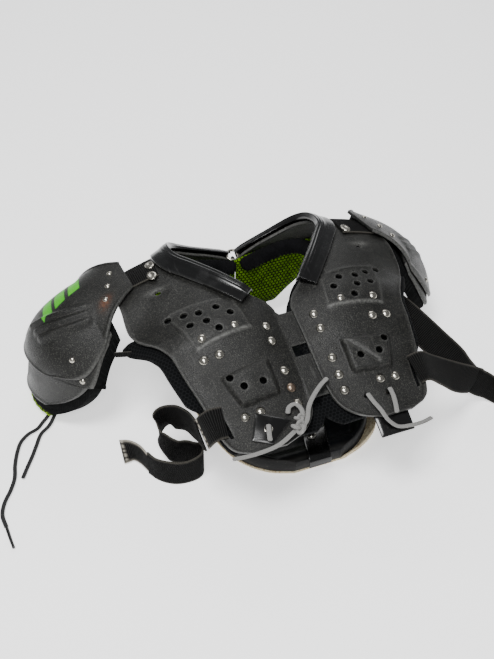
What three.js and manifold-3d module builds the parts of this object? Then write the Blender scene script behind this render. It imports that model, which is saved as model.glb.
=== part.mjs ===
// Football shoulder pads lying on their back: two arched plates from chest to back, shoulder caps,
// body padding, neck rolls, straps and laces. Millimetres, +X to the wearer's left, +Y towards the
// head, +Z up; the lower back pad lies on Z = 0. In names, _l is the -X half and _r the +X half.
import * as THREE from 'three';
import { mergeVertices } from 'three/addons/utils/BufferGeometryUtils.js';
import Module from 'manifold-3d';

const wasm = await Module();
wasm.setup();

// Driving dimensions
const archLength = 441;
const plateReach = 165;
const plateWall = 3.2;
const padHeight = 160;
const padDepth = 312;
const hemY = -127;
const crownX = 68;
const clearance = 0.35;
const padThickness = 14;
const softClearance = 0.8;
const backPadThickness = 11;
const ventRadius = 4;
const pocketRise = 6;
const slotWidth = 36;
const slotHeight = 5;
const collarWidth = 24;
const collarWall = 3;
const collarStand = 8;
const rollRadius = 9.5;
const bandWall = 2.4;
const bandHalfSpan = 34;
const capHalfWidth = 70;
const capWall = 3.2;
const capSweep = 86;
// Each cap as it lies: reach outward and down, fall of its front and rear edges, tilt and turn in degrees,
// and where the flap and the pad under it end along the sweep
const capShapes = {
  l: { out: 128, down: 80, front: 38, rear: 50, flare: -1.5, turn: -3.5, flapTo: 1.4, padTo: 1.56 },
  r: { out: 138, down: 80, front: 32, rear: 48, flare: -24, turn: 13, flapTo: 1.06, padTo: 1.1 },
};
const tierSpread = 25;
const tierGap = 2.2;
const capHingeX = 146;
const capHingeY = 128;
const capHingeZ = 153;
const capPadThickness = 13;
const webbingWidth = 40;
const webbingWall = 2;
const lowerPadHalfWidth = 98;
const lowerPadLength = 312;
const lowerPadThickness = 9;
const lowerPadRim = 9;
const lowerPadRise = 46;
const foamWall = 3;
const foamBareReach = 11;
const foamBareRise = 6;
const strapWidth = 34;
const strapWall = 1.8;
const laceWidth = 4.6;
const shoelaceWidth = 4.6;
const hardwareWall = 2.2;

// The arch in the Y-Z plane at the crown line: y as a share of padDepth from the front hem, z of padHeight
const archProfile = [
  { y: 0.0, z: 0.6 },
  { y: 0.125, z: 0.688 },
  { y: 0.234, z: 0.794 },
  { y: 0.338, z: 0.888 },
  { y: 0.407, z: 0.941 },
  { y: 0.474, z: 0.975 },
  { y: 0.599, z: 0.997 },
  { y: 0.728, z: 0.997 },
  { y: 0.824, z: 0.981 },
  { y: 0.904, z: 0.931 },
  { y: 0.958, z: 0.838 },
  { y: 0.987, z: 0.7 },
  { y: 0.997, z: 0.5 },
  { y: 0.994, z: 0.281 },
  { y: 0.987, z: 0.088 },
];

// Plate edges: run is a share of archLength from the front hem, inner and outer of plateReach,
// and bow is the sideways fall of the plate in thousandths per mm
const plateEdges = [
  { run: 0.0, inner: 0.33, outer: 0.53, bow: 1.2 },
  { run: 0.018, inner: 0.206, outer: 0.642, bow: 1.2 },
  { run: 0.045, inner: 0.121, outer: 0.69, bow: 1.2 },
  { run: 0.08, inner: 0.076, outer: 0.712, bow: 1.4 },
  { run: 0.136, inner: 0.058, outer: 0.739, bow: 1.8 },
  { run: 0.181, inner: 0.055, outer: 0.764, bow: 2.3 },
  { run: 0.238, inner: 0.055, outer: 0.794, bow: 3.0 },
  { run: 0.295, inner: 0.055, outer: 0.818, bow: 3.6 },
  { run: 0.33, inner: 0.056, outer: 0.855, bow: 3.8 },
  { run: 0.363, inner: 0.064, outer: 0.9, bow: 3.9 },
  { run: 0.39, inner: 0.103, outer: 0.939, bow: 4.0 },
  { run: 0.413, inner: 0.17, outer: 0.967, bow: 4.0 },
  { run: 0.451, inner: 0.255, outer: 1.0, bow: 3.5 },
  { run: 0.51, inner: 0.376, outer: 1.0, bow: 2.3 },
  { run: 0.556, inner: 0.461, outer: 1.0, bow: 2.2 },
  { run: 0.595, inner: 0.527, outer: 0.99, bow: 2.2 },
  { run: 0.635, inner: 0.545, outer: 0.97, bow: 2.2 },
  { run: 0.673, inner: 0.53, outer: 0.921, bow: 2.2 },
  { run: 0.703, inner: 0.495, outer: 0.88, bow: 2.2 },
  { run: 0.731, inner: 0.42, outer: 0.845, bow: 2.1 },
  { run: 0.755, inner: 0.31, outer: 0.815, bow: 2.0 },
  { run: 0.776, inner: 0.15, outer: 0.788, bow: 2.0 },
  { run: 0.792, inner: 0.055, outer: 0.76, bow: 2.0 },
  { run: 0.828, inner: 0.055, outer: 0.7, bow: 2.0 },
  { run: 0.885, inner: 0.055, outer: 0.6, bow: 2.0 },
  { run: 0.923, inner: 0.055, outer: 0.515, bow: 2.0 },
  { run: 0.955, inner: 0.061, outer: 0.412, bow: 2.0 },
  { run: 0.98, inner: 0.08, outer: 0.327, bow: 2.0 },
  { run: 1.0, inner: 0.13, outer: 0.24, bow: 2.0 },
];

// Round holes through each plate: x as a share of plateReach, run of archLength
const ventHoles = [
  { x: 0.752, run: 0.41 },
  { x: 0.653, run: 0.399 },
  { x: 0.56, run: 0.388 },
  { x: 0.44, run: 0.39 },
  { x: 0.368, run: 0.362 },
  { x: 0.643, run: 0.36 },
  { x: 0.536, run: 0.356 },
  { x: 0.479, run: 0.326 },
  { x: 0.737, run: 0.508 },
];
const pocketHoles = [
  { x: 0.535, run: 0.19 },
  { x: 0.467, run: 0.162 },
  { x: 0.338, run: 0.163 },
];
// Corners of the raised pocket, front corners first
const pocketCorners = [
  { x: 0.245, run: 0.125 },
  { x: 0.52, run: 0.112 },
  { x: 0.594, run: 0.2 },
  { x: 0.25, run: 0.22 },
];
const slotCentre = { x: 0.652, run: 0.09, angle: 83 };

// Neck edge under the collar, from its front end over the shoulder to the nape
const neckEdge = [
  { x: 0.17, run: 0.413 },
  { x: 0.255, run: 0.451 },
  { x: 0.376, run: 0.51 },
  { x: 0.461, run: 0.556 },
  { x: 0.527, run: 0.595 },
  { x: 0.545, run: 0.635 },
  { x: 0.53, run: 0.673 },
  { x: 0.495, run: 0.703 },
  { x: 0.42, run: 0.731 },
  { x: 0.31, run: 0.755 },
  { x: 0.18, run: 0.772 },
  { x: 0.065, run: 0.783 },
];
// Centre of the neck roll: x of plateReach, y of padDepth from the front hem, z of padHeight
const rollPath = [
  { x: 0.19, y: 0.56, z: 0.83 },
  { x: 0.25, y: 0.6, z: 0.815 },
  { x: 0.36, y: 0.665, z: 0.8 },
  { x: 0.47, y: 0.74, z: 0.775 },
  { x: 0.505, y: 0.82, z: 0.765 },
  { x: 0.455, y: 0.88, z: 0.75 },
  { x: 0.34, y: 0.905, z: 0.725 },
  { x: 0.19, y: 0.91, z: 0.685 },
  { x: 0.07, y: 0.91, z: 0.635 },
];

// Half width of a shoulder cap along its outward run, as a share of capHalfWidth
const capPlan = [
  { along: 0.0, half: 0.34 },
  { along: 0.12, half: 0.55 },
  { along: 0.3, half: 0.86 },
  { along: 0.5, half: 1.0 },
  { along: 0.7, half: 1.0 },
  { along: 0.85, half: 0.9 },
  { along: 0.95, half: 0.7 },
  { along: 1.0, half: 0.5 },
];

// The same for the tiers under the cap, along their own run
const tierPlan = [
  { along: 0.0, half: 0.8 },
  { along: 0.25, half: 1.05 },
  { along: 0.5, half: 1.1 },
  { along: 0.72, half: 1.04 },
  { along: 0.88, half: 0.84 },
  { along: 1.0, half: 0.5 },
];

// Half width of the lower back pad from its front end, as shares of its length and lowerPadHalfWidth
const lowerPadPlan = [
  { along: 0.0, half: 0.28 },
  { along: 0.03, half: 0.52 },
  { along: 0.09, half: 0.74 },
  { along: 0.17, half: 0.88 },
  { along: 0.3, half: 0.97 },
  { along: 0.5, half: 1.0 },
  { along: 0.62, half: 0.86 },
  { along: 0.72, half: 0.6 },
  { along: 0.8, half: 0.5 },
  { along: 1.0, half: 0.46 },
];

// Section of the lower back pad's under face: y as a share of lowerPadLength from the middle of the
// length it lies on, z of lowerPadRise
const lowerPadPath = [
  { y: -0.288, z: 0 },
  { y: -0.192, z: 0 },
  { y: 0.0, z: 0 },
  { y: 0.224, z: 0 },
  { y: 0.449, z: 0 },
  { y: 0.575, z: 0.01 },
  { y: 0.632, z: 0.22 },
  { y: 0.647, z: 0.6 },
  { y: 0.647, z: 1.0 },
];

// Straps: the middle of the band and the direction of its width at each station
const straps = {
  side_webbing_l: [
    { x: -107.5, y: -89, z: 110.7, wx: -0.13, wy: 0.9, wz: 0.42 },
    { x: -118, y: -88, z: 110.4, wx: -0.13, wy: 0.9, wz: 0.44 },
    { x: -126, y: -86, z: 104, wx: -0.13, wy: 0.9, wz: 0.42 },
    { x: -129, y: -80, z: 92, wx: -0.1, wy: 0.8, wz: 0.55 },
  ],
  side_elastic_l: [
    { x: -129.8, y: -76.2, z: 86.4, wx: -0.1, wy: 0.8, wz: 0.6 },
    { x: -128, y: -66, z: 78, wx: -0.1, wy: 0.55, wz: 0.8 },
    { x: -128, y: -42, z: 67, wx: -0.1, wy: 0.25, wz: 0.97 },
    { x: -135, y: -16, z: 57, wx: -0.1, wy: 0.1, wz: 0.99 },
    { x: -150, y: -4, z: 46, wx: 0, wy: 0, wz: 1 },
    { x: -157, y: -15, z: 36, wx: 0, wy: 0, wz: 1 },
    { x: -148, y: -32, z: 27, wx: 0, wy: 0, wz: 1 },
    { x: -131, y: -36, z: 20, wx: 0, wy: 0, wz: 1 },
    { x: -119, y: -43, z: 17.5, wx: 0, wy: 0, wz: 1 },
    { x: -123, y: -55, z: 17.5, wx: 0, wy: 0, wz: 1 },
    { x: -136, y: -60, z: 17.5, wx: 0, wy: 0, wz: 1 },
    { x: -152, y: -58, z: 17.5, wx: 0, wy: 0, wz: 1 },
    { x: -170, y: -45, z: 17.5, wx: 0, wy: 0, wz: 1 },
    { x: -177, y: -32, z: 17.5, wx: 0, wy: 0, wz: 1 },
  ],
  hook_tab_l: [
    { x: -177.1, y: -31.6, z: 17.5, wx: 0, wy: 0, wz: 1 },
    { x: -182, y: -17, z: 17.3, wx: 0, wy: 0.1, wz: 1 },
    { x: -189, y: -7, z: 16, wx: -0.1, wy: 0.25, wz: 1 },
    { x: -199, y: -3, z: 13.5, wx: -0.2, wy: 0.6, wz: 0.8 },
  ],
  side_webbing_r: [
    { x: 107.5, y: -89, z: 110.8, wx: 0.13, wy: 0.9, wz: 0.42 },
    { x: 120, y: -87, z: 110.3, wx: 0.13, wy: 0.9, wz: 0.42 },
    { x: 142, y: -82, z: 92, wx: 0.1, wy: 0.8, wz: 0.5 },
    { x: 176, y: -74, z: 62, wx: 0.1, wy: 0.5, wz: 0.85 },
    { x: 208, y: -67, z: 39, wx: 0, wy: 0, wz: 1 },
  ],
  shoulder_strap_r: [
    { x: 146, y: 42, z: 98, wx: 0.3, wy: 0.9, wz: 0.3 },
    { x: 162, y: 14, z: 82, wx: 0.3, wy: 0.7, wz: 0.6 },
    { x: 182, y: -14, z: 62, wx: 0.2, wy: 0.5, wz: 0.85 },
    { x: 200, y: -38, z: 46, wx: 0.1, wy: 0.3, wz: 0.95 },
    { x: 208, y: -59, z: 39.5, wx: 0, wy: 0, wz: 1 },
  ],
  side_elastic_r: [
    { x: 208.6, y: -66.8, z: 38.5, wx: 0, wy: 0, wz: 1 },
    { x: 226, y: -70, z: 24, wx: 0, wy: 0, wz: 1 },
    { x: 238, y: -80, z: 18, wx: 0, wy: 0, wz: 1 },
    { x: 256, y: -92, z: 17.5, wx: 0, wy: 0, wz: 1 },
    { x: 276, y: -92, z: 17.5, wx: 0, wy: 0, wz: 1 },
    { x: 290, y: -78, z: 17.5, wx: 0, wy: 0, wz: 1 },
  ],
};

// Free laces, middle line from the end that leaves the pads to the loose end
const laces = {
  lace_loop_l: [
    { x: -43, y: -99, z: 108.2 },
    { x: -39, y: -93, z: 111 },
    { x: -32, y: -92, z: 112 },
    { x: -28, y: -99, z: 110 },
    { x: -31, y: -109, z: 108 },
    { x: -40, y: -118, z: 106 },
    { x: -52, y: -125, z: 104.5 },
    { x: -66, y: -130, z: 102 },
    { x: -82, y: -131, z: 100 },
    { x: -98, y: -130, z: 98.5 },
    { x: -114, y: -127, z: 97 },
  ],
  lace_cross_l: [
    { x: 13, y: -73, z: 117 },
    { x: 3, y: -78, z: 114.5 },
    { x: -8, y: -86, z: 111 },
    { x: -17, y: -95, z: 108.5 },
    { x: -22, y: -103, z: 107.5 },
    { x: -25, y: -109, z: 108 },
  ],
  lace_eyelet_l: [
    { x: -67, y: -106, z: 109 },
    { x: -69, y: -112, z: 109 },
    { x: -71, y: -119, z: 106 },
    { x: -72, y: -124, z: 104.4 },
  ],
  lace_long_r: [
    { x: 46, y: -101, z: 108.5 },
    { x: 48, y: -112, z: 106 },
    { x: 51, y: -124, z: 103.5 },
    { x: 55, y: -134, z: 97 },
    { x: 63, y: -141, z: 91.5 },
    { x: 78, y: -143, z: 89.3 },
    { x: 94, y: -140, z: 85.5 },
    { x: 108, y: -134, z: 81 },
  ],
  lace_short_r: [
    { x: 72, y: -101, z: 107.8 },
    { x: 71, y: -111, z: 107 },
    { x: 69, y: -122, z: 103.5 },
    { x: 67, y: -130, z: 99 },
  ],
  shoelace: [
    { x: -255, y: 99, z: 5.2 },
    { x: -262, y: 92, z: 2.6 },
    { x: -270, y: 84, z: 2.6 },
    { x: -278, y: 76, z: 2.6 },
    { x: -290, y: 71, z: 2.6 },
    { x: -300, y: 62, z: 2.6 },
    { x: -307, y: 48, z: 2.6 },
    { x: -313, y: 30, z: 2.6 },
    { x: -317, y: 12, z: 2.6 },
    { x: -324, y: -3, z: 2.6 },
    { x: -334, y: -19, z: 2.6 },
    { x: -339, y: -34, z: 2.6 },
    { x: -338, y: -52, z: 2.6 },
  ],
  shoelace_second: [
    { x: -251, y: 94, z: 5.4 },
    { x: -264, y: 76, z: 3.2 },
    { x: -276, y: 66, z: 2.8 },
    { x: -284, y: 52, z: 2.6 },
    { x: -292, y: 37, z: 2.6 },
    { x: -301, y: 22, z: 2.6 },
    { x: -309, y: 8, z: 2.6 },
  ],
};
const shoelaceTip = [
  { x: -337.9, y: -52.4, z: 2.6 },
  { x: -337, y: -68, z: 2.6 },
  { x: -336, y: -80, z: 2.6 },
];

// Short tie from the left cap pad to the side of the body pad
const capTie = [
  { x: -183, y: 53, z: 106, wx: 0, wy: 0.3, wz: 0.95 },
  { x: -174, y: 47, z: 109, wx: 0, wy: 0.3, wz: 0.95 },
  { x: -166.6, y: 42, z: 111.5, wx: 0, wy: 0.3, wz: 0.95 },
];

const paint = {
  plate: { color: 0x2b2c2d, roughness: 0.62, metalness: 0 },
  gloss: { color: 0x151617, roughness: 0.25, metalness: 0 },
  roll: { color: 0x303135, roughness: 0.9, metalness: 0 },
  mesh: { color: 0x1b1c1e, roughness: 0.9, metalness: 0 },
  lime: { color: 0x7ea21c, roughness: 0.85, metalness: 0 },
  lining: { color: 0x151b24, roughness: 0.55, metalness: 0 },
  foam: { color: 0xd8ccb0, roughness: 0.95, metalness: 0 },
  webbing: { color: 0x222324, roughness: 0.85, metalness: 0 },
  lace: { color: 0x8b8b8a, roughness: 0.8, metalness: 0 },
  steel: { color: 0xb5b5b2, roughness: 0.3, metalness: 1 },
};

// Cubic interpolation of one column of a table against another
function column(table, key, value, at) {
  let i = 0;
  while (i < table.length - 2 && at > table[i + 1][key]) i += 1;
  const a = table[i];
  const b = table[i + 1];
  const s = THREE.MathUtils.clamp((at - a[key]) / (b[key] - a[key]), 0, 1);
  const before = table[Math.max(i - 1, 0)];
  const after = table[Math.min(i + 2, table.length - 1)];
  const slopeA = (b[value] - before[value]) / (b[key] - before[key] || 1) * (b[key] - a[key]);
  const slopeB = (after[value] - a[value]) / (after[key] - a[key] || 1) * (b[key] - a[key]);
  const s2 = s * s;
  const s3 = s2 * s;
  return (2 * s3 - 3 * s2 + 1) * a[value] + (s3 - 2 * s2 + s) * slopeA
    + (3 * s2 - 2 * s3) * b[value] + (s3 - s2) * slopeB;
}

const archCurve = new THREE.CatmullRomCurve3(
  archProfile.map((p) => new THREE.Vector3(0, hemY + p.y * padDepth, p.z * padHeight)),
);
archCurve.arcLengthDivisions = 600;

// Point of the arch at x and run, depth millimetres inside the plates' outer face
function skin(x, run, depth = 0) {
  const at = THREE.MathUtils.clamp(run, 0, 1);
  const p = archCurve.getPointAt(at);
  const t = archCurve.getTangentAt(at);
  const out = new THREE.Vector3(0, -t.z, t.y);
  const bow = column(plateEdges, 'run', 'bow', at) / 1000;
  const fall = bow * (Math.abs(x) - crownX) ** 2;
  p.addScaledVector(out, -fall - depth);
  p.addScaledVector(t, (run - at) * archLength);
  p.x = x;
  return p;
}

// Share of pocketRise at a place on the plate: 1 on the pocket's top, falling to 0 past its sides
function pocketShare(x, run) {
  let inside = 1;
  const softness = 7;
  for (let i = 0; i < pocketCorners.length; i += 1) {
    const a = pocketCorners[i];
    const b = pocketCorners[(i + 1) % pocketCorners.length];
    const ax = a.x * plateReach;
    const ay = a.run * archLength;
    const ex = b.x * plateReach - ax;
    const ey = b.run * archLength - ay;
    const side = (ex * (run * archLength - ay) - ey * (Math.abs(x) - ax)) / Math.hypot(ex, ey);
    inside *= THREE.MathUtils.smoothstep(side, -1, softness);
  }
  return inside;
}

// Closed wall between two faces of a grid: outer(u, v) and inner(u, v), u and v from 0 to 1
function wallBetween(outer, inner, us, vs) {
  const positions = [];
  for (const face of [outer, inner]) {
    for (const u of us) {
      for (const v of vs) {
        const p = face(u, v);
        positions.push(p.x, p.y, p.z);
      }
    }
  }
  const rows = us.length;
  const cols = vs.length;
  const index = [];
  const at = (side, i, j) => side * rows * cols + i * cols + j;
  const quad = (a, b, c, d) => index.push(a, b, c, a, c, d);
  for (let i = 0; i < rows - 1; i += 1) {
    for (let j = 0; j < cols - 1; j += 1) {
      quad(at(0, i, j), at(0, i + 1, j), at(0, i + 1, j + 1), at(0, i, j + 1));
      quad(at(1, i, j), at(1, i, j + 1), at(1, i + 1, j + 1), at(1, i + 1, j));
    }
    quad(at(0, i, 0), at(1, i, 0), at(1, i + 1, 0), at(0, i + 1, 0));
    quad(at(0, i, cols - 1), at(0, i + 1, cols - 1), at(1, i + 1, cols - 1), at(1, i, cols - 1));
  }
  for (let j = 0; j < cols - 1; j += 1) {
    quad(at(0, 0, j), at(0, 0, j + 1), at(1, 0, j + 1), at(1, 0, j));
    quad(at(0, rows - 1, j), at(1, rows - 1, j), at(1, rows - 1, j + 1), at(0, rows - 1, j + 1));
  }
  const geometry = new THREE.BufferGeometry();
  geometry.setAttribute('position', new THREE.Float32BufferAttribute(positions, 3));
  geometry.setIndex(index);
  return facingOut(geometry);
}

// Turns every face over when the closed geometry's volume comes out negative
function facingOut(geometry) {
  const p = geometry.attributes.position;
  const index = geometry.index.array;
  const a = new THREE.Vector3();
  const b = new THREE.Vector3();
  const c = new THREE.Vector3();
  let volume = 0;
  for (let i = 0; i < index.length; i += 3) {
    a.fromBufferAttribute(p, index[i]);
    b.fromBufferAttribute(p, index[i + 1]);
    c.fromBufferAttribute(p, index[i + 2]);
    volume += a.dot(b.cross(c));
  }
  if (volume < 0) {
    const turned = Array.from(index);
    for (let i = 0; i < turned.length; i += 3) {
      [turned[i + 1], turned[i + 2]] = [turned[i + 2], turned[i + 1]];
    }
    geometry.setIndex(turned);
  }
  return geometry;
}

function steps(count) {
  return Array.from({ length: count + 1 }, (_, i) => i / count);
}

function solidOf(geometry) {
  const bare = geometry.clone();
  bare.deleteAttribute('normal');
  bare.deleteAttribute('uv');
  const merged = mergeVertices(bare, 1e-4);
  return new wasm.Manifold(new wasm.Mesh({
    numProp: 3,
    vertProperties: new Float32Array(merged.attributes.position.array),
    triVerts: new Uint32Array(merged.index.array),
  }));
}

function geometryOf(solid) {
  const mesh = solid.getMesh();
  const geometry = new THREE.BufferGeometry();
  geometry.setAttribute('position', new THREE.BufferAttribute(new Float32Array(mesh.vertProperties), 3));
  geometry.setIndex(new THREE.BufferAttribute(new Uint32Array(mesh.triVerts), 1));
  return geometry;
}

// Cutter standing square on the plate at x and run
function standingOn(geometry, x, run, turn = 0) {
  const here = skin(x, run);
  const below = skin(x, run, 5);
  const axis = here.clone().sub(below).normalize();
  const place = new THREE.Quaternion().setFromUnitVectors(new THREE.Vector3(0, 0, 1), axis);
  geometry.rotateZ(turn);
  geometry.applyQuaternion(place);
  geometry.translate(here.x, here.y, here.z);
  return geometry;
}

function holeCutter(x, run, radius) {
  const length = 2 * (pocketRise + plateWall) + 8;
  return standingOn(new THREE.CylinderGeometry(radius, radius, length, 8).rotateX(Math.PI / 2), x, run);
}

const group = new THREE.Group();

function add(name, geometry, finish) {
  const mesh = new THREE.Mesh(geometry, new THREE.MeshStandardMaterial(finish));
  mesh.name = name;
  group.add(mesh);
}

const halves = [{ side: -1, tag: 'l' }, { side: 1, tag: 'r' }];

// Edges of a layer under the plate, spread sideways by more than the plate at each edge
function across(side, run, v, more = 0, less = 0) {
  const inner = column(plateEdges, 'run', 'inner', run) * plateReach - less;
  const outer = column(plateEdges, 'run', 'outer', run) * plateReach + more;
  return side * THREE.MathUtils.lerp(inner, outer, v);
}

function archPlate(side) {
  const rows = plateEdges.map((e) => e.run);
  const face = (depth) => (u, v) => {
    const x = across(side, u, v);
    return skin(x, u, depth - pocketRise * pocketShare(x, u));
  };
  let plate = solidOf(wallBetween(face(0), face(plateWall), withPocketRows(rows), steps(8)));
  for (const hole of [...ventHoles, ...pocketHoles]) {
    plate = plate.subtract(solidOf(holeCutter(side * hole.x * plateReach, hole.run, ventRadius)));
  }
  const slot = new THREE.BoxGeometry(slotWidth, slotHeight, 6 * plateWall);
  const turn = side * THREE.MathUtils.degToRad(slotCentre.angle);
  plate = plate.subtract(solidOf(standingOn(slot, side * slotCentre.x * plateReach, slotCentre.run, turn)));
  return geometryOf(plate);
}

// Extra rows where the pocket rises, so that its sides show
function withPocketRows(rows) {
  const extra = [0.105, 0.12, 0.16, 0.205, 0.22];
  return [...rows, ...extra].sort((a, b) => a - b);
}

// Collar: a ribbed strip over the neck edge, seen along its edge as a low arch
function collar(side) {
  const section = [
    { out: 0.0, up: 0.35 },
    { out: 0.12, up: 1.0 },
    { out: 0.35, up: 0.8 },
    { out: 0.6, up: 0.45 },
    { out: 1.0, up: 0.1 },
  ];
  const face = (drop) => (u, v) => {
    const along = u * (neckEdge.length - 1);
    const i = Math.min(Math.floor(along), neckEdge.length - 2);
    const s = along - i;
    const x = THREE.MathUtils.lerp(neckEdge[i].x, neckEdge[i + 1].x, s) * plateReach;
    const run = THREE.MathUtils.lerp(neckEdge[i].run, neckEdge[i + 1].run, s);
    const ahead = neckEdge[i + 1];
    const dx = (ahead.x - neckEdge[i].x) * plateReach;
    const dr = (ahead.run - neckEdge[i].run) * archLength;
    const span = Math.hypot(dx, dr);
    const k = v * (section.length - 1);
    const j = Math.min(Math.floor(k), section.length - 2);
    const out = THREE.MathUtils.lerp(section[j].out, section[j + 1].out, k - j) * collarWidth - 3;
    const up = THREE.MathUtils.lerp(section[j].up, section[j + 1].up, k - j) * collarStand;
    return skin(side * (x + dr / span * out), run - dx / span * out / archLength, -clearance - up - drop);
  };
  return wallBetween(face(collarWall), face(0), steps(14), steps(4));
}

// Tube of round section along a smooth path of points
function tube(points, radius, sides, count) {
  const shape = new THREE.Shape();
  for (let i = 0; i < sides; i += 1) {
    const a = i / sides * 2 * Math.PI;
    if (i === 0) shape.moveTo(radius * Math.cos(a), radius * Math.sin(a));
    else shape.lineTo(radius * Math.cos(a), radius * Math.sin(a));
  }
  shape.closePath();
  const path = new THREE.CatmullRomCurve3(points);
  return new THREE.ExtrudeGeometry(shape, { steps: count, bevelEnabled: false, extrudePath: path });
}

function neckRoll(side) {
  const points = rollPath.map((p) => new THREE.Vector3(
    side * p.x * plateReach,
    hemY + p.y * padDepth,
    p.z * padHeight,
  ));
  return tube(points, rollRadius, 9, 14);
}

// The plate's own rows between two runs, as shares of that stretch
function rowsBetween(from, to) {
  const inside = plateEdges.map((e) => e.run).filter((r) => r > from + 0.008 && r < to - 0.008);
  return [from, ...inside, to].map((r) => (r - from) / (to - from));
}

// Padding under a stretch of plate, thick in the middle and thin at its rim
function bodyPad(side, from, to, sink, thickness, more, less) {
  const rim = 0.35;
  const face = (inside) => (u, v) => {
    const run = THREE.MathUtils.lerp(from, to, u);
    const edge = Math.min(u, 1 - u, v, 1 - v);
    const swell = rim + (1 - rim) * Math.sqrt(THREE.MathUtils.smoothstep(edge, 0, 0.25));
    const depth = plateWall + softClearance + sink + (inside ? thickness * swell : 0);
    const past = more * THREE.MathUtils.smoothstep(run, 0.12, 0.17);
    return skin(across(side, run, v, past, less), run, depth);
  };
  return wallBetween(face(false), face(true), rowsBetween(from, to), steps(5));
}

// Point of a shoulder cap: along its outward sweep, across it from -1 at the front to 1, depth under its
// outer face, and half its width there as a share of capHalfWidth. Past a quarter turn it drops straight,
// spreading outward
function capSkin(tag, side, along, across2, depth, halfShare) {
  const shape = capShapes[tag];
  const turned = THREE.MathUtils.degToRad(capSweep) * along;
  const angle = Math.min(turned, Math.PI / 2);
  const drop = (turned - angle) * shape.down;
  const half = halfShare * capHalfWidth;
  const normal = new THREE.Vector2(Math.sin(angle) / shape.out, Math.cos(angle) / shape.down).normalize();
  const crown = (across2 < 0 ? shape.front : shape.rear) * Math.min(1, Math.max(0, along) / 0.3);
  const fall = crown * (across2 * halfShare) ** 2 + depth;
  const p = new THREE.Vector3(
    shape.out * Math.sin(angle) - normal.x * fall + tierSpread * Math.max(0, along - 1),
    across2 * half,
    -shape.down * (1 - Math.cos(angle)) - normal.y * fall - drop,
  );
  p.applyAxisAngle(new THREE.Vector3(0, 1, 0), -THREE.MathUtils.degToRad(shape.flare));
  p.applyAxisAngle(new THREE.Vector3(0, 0, 1), THREE.MathUtils.degToRad(shape.turn));
  p.x *= side;
  return p.add(new THREE.Vector3(side * capHingeX, capHingeY, capHingeZ));
}

function capLayer(tag, side, plan, from, to, depth, wall, rows, cols) {
  const face = (extra) => (u, v) => {
    const along = THREE.MathUtils.lerp(from, to, u);
    return capSkin(tag, side, along, 2 * v - 1, depth + extra, column(plan, 'along', 'half', u));
  };
  return wallBetween(face(0), face(wall), steps(rows), steps(cols));
}

// Flat band along its stations, with its width direction given at each
function band(rows, width, wall, count) {
  const middle = new THREE.CatmullRomCurve3(rows.map((r) => new THREE.Vector3(r.x, r.y, r.z)));
  const spread = new THREE.CatmullRomCurve3(rows.map((r) => new THREE.Vector3(r.wx, r.wy, r.wz)));
  const face = (lift) => (u, v) => {
    const p = middle.getPoint(u);
    const across2 = spread.getPoint(u).normalize();
    const normal = middle.getTangent(u).cross(across2).normalize();
    const square = normal.clone().cross(middle.getTangent(u)).normalize();
    return p.addScaledVector(square, (v - 0.5) * width).addScaledVector(normal, lift * wall);
  };
  return wallBetween(face(0.5), face(-0.5), steps(count), steps(1));
}

// Strip lying on the plate's outer face from the collar outward to under the cap's inner edge
function capWebbing(side) {
  const from = 0.56;
  const to = from + webbingWidth / archLength;
  const face = (extra) => (u, v) => {
    const x = THREE.MathUtils.lerp(0.685, 0.935, u) * plateReach;
    return skin(side * x, THREE.MathUtils.lerp(from, to, v), -softClearance - clearance - extra);
  };
  return wallBetween(face(webbingWall), face(0), steps(6), steps(2));
}

// Wide strip across the breastbone under both plates, flat between them
function breastBand(from, to) {
  const flat = 0.055 * plateReach;
  const face = (extra) => (u, v) => {
    const x = THREE.MathUtils.lerp(-bandHalfSpan, bandHalfSpan, u);
    const p = skin(Math.max(Math.abs(x), flat), THREE.MathUtils.lerp(from, to, v), plateWall + softClearance + extra);
    p.x = x;
    return p;
  };
  return wallBetween(face(0), face(bandWall), [0, 0.18, 0.365, 0.635, 0.82, 1], steps(3));
}

// Patch on or under the plate between four corners in x and run
function platePatch(side, corners, depth, wall) {
  const face = (extra) => (u, v) => {
    const near = THREE.MathUtils.lerp(corners[0].x, corners[1].x, u);
    const far = THREE.MathUtils.lerp(corners[3].x, corners[2].x, u);
    const nearRun = THREE.MathUtils.lerp(corners[0].run, corners[1].run, u);
    const farRun = THREE.MathUtils.lerp(corners[3].run, corners[2].run, u);
    const x = THREE.MathUtils.lerp(near, far, v) * plateReach;
    return skin(side * x, THREE.MathUtils.lerp(nearRun, farRun, v), depth + extra);
  };
  return wallBetween(face(0), face(wall), steps(3), steps(3));
}

const lowerPadCurve = new THREE.CatmullRomCurve3(
  lowerPadPath.map((p) => new THREE.Vector3(0, p.y * lowerPadLength, p.z * lowerPadRise)),
);

// Point of the lower back pad: along from its front end, across from -1 to 1, height over its under face
function lowerPad(along, across2, height, spread = 0) {
  const p = lowerPadCurve.getPointAt(along);
  const t = lowerPadCurve.getTangentAt(along);
  const up = new THREE.Vector3(0, -t.z, t.y);
  const half = column(lowerPadPlan, 'along', 'half', along) * lowerPadHalfWidth;
  p.addScaledVector(up, height);
  p.x = across2 * (half + spread);
  return p;
}

function lowerPadBody() {
  const alongs = [0, 0.025, 0.06, 0.11, 0.17, 0.3, 0.45, 0.6, 0.72, 0.8, 0.86, 0.9, 0.94, 1];
  const acrosses = [-1, -0.93, -0.84, -0.5, 0, 0.5, 0.84, 0.93, 1];
  const top = (along, across2) => {
    const edge = Math.min((1 - Math.abs(across2)) * 0.9, along);
    const rim = 1 - THREE.MathUtils.smoothstep(edge, 0.05, 0.12);
    return foamWall + clearance + lowerPadThickness - clearance + lowerPadRim * rim * (along < 0.7 ? 1 : 0);
  };
  return wallBetween(
    (u, v) => lowerPad(u, v, top(u, v)),
    (u, v) => lowerPad(u, v, foamWall + clearance),
    alongs,
    acrosses,
  );
}

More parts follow.
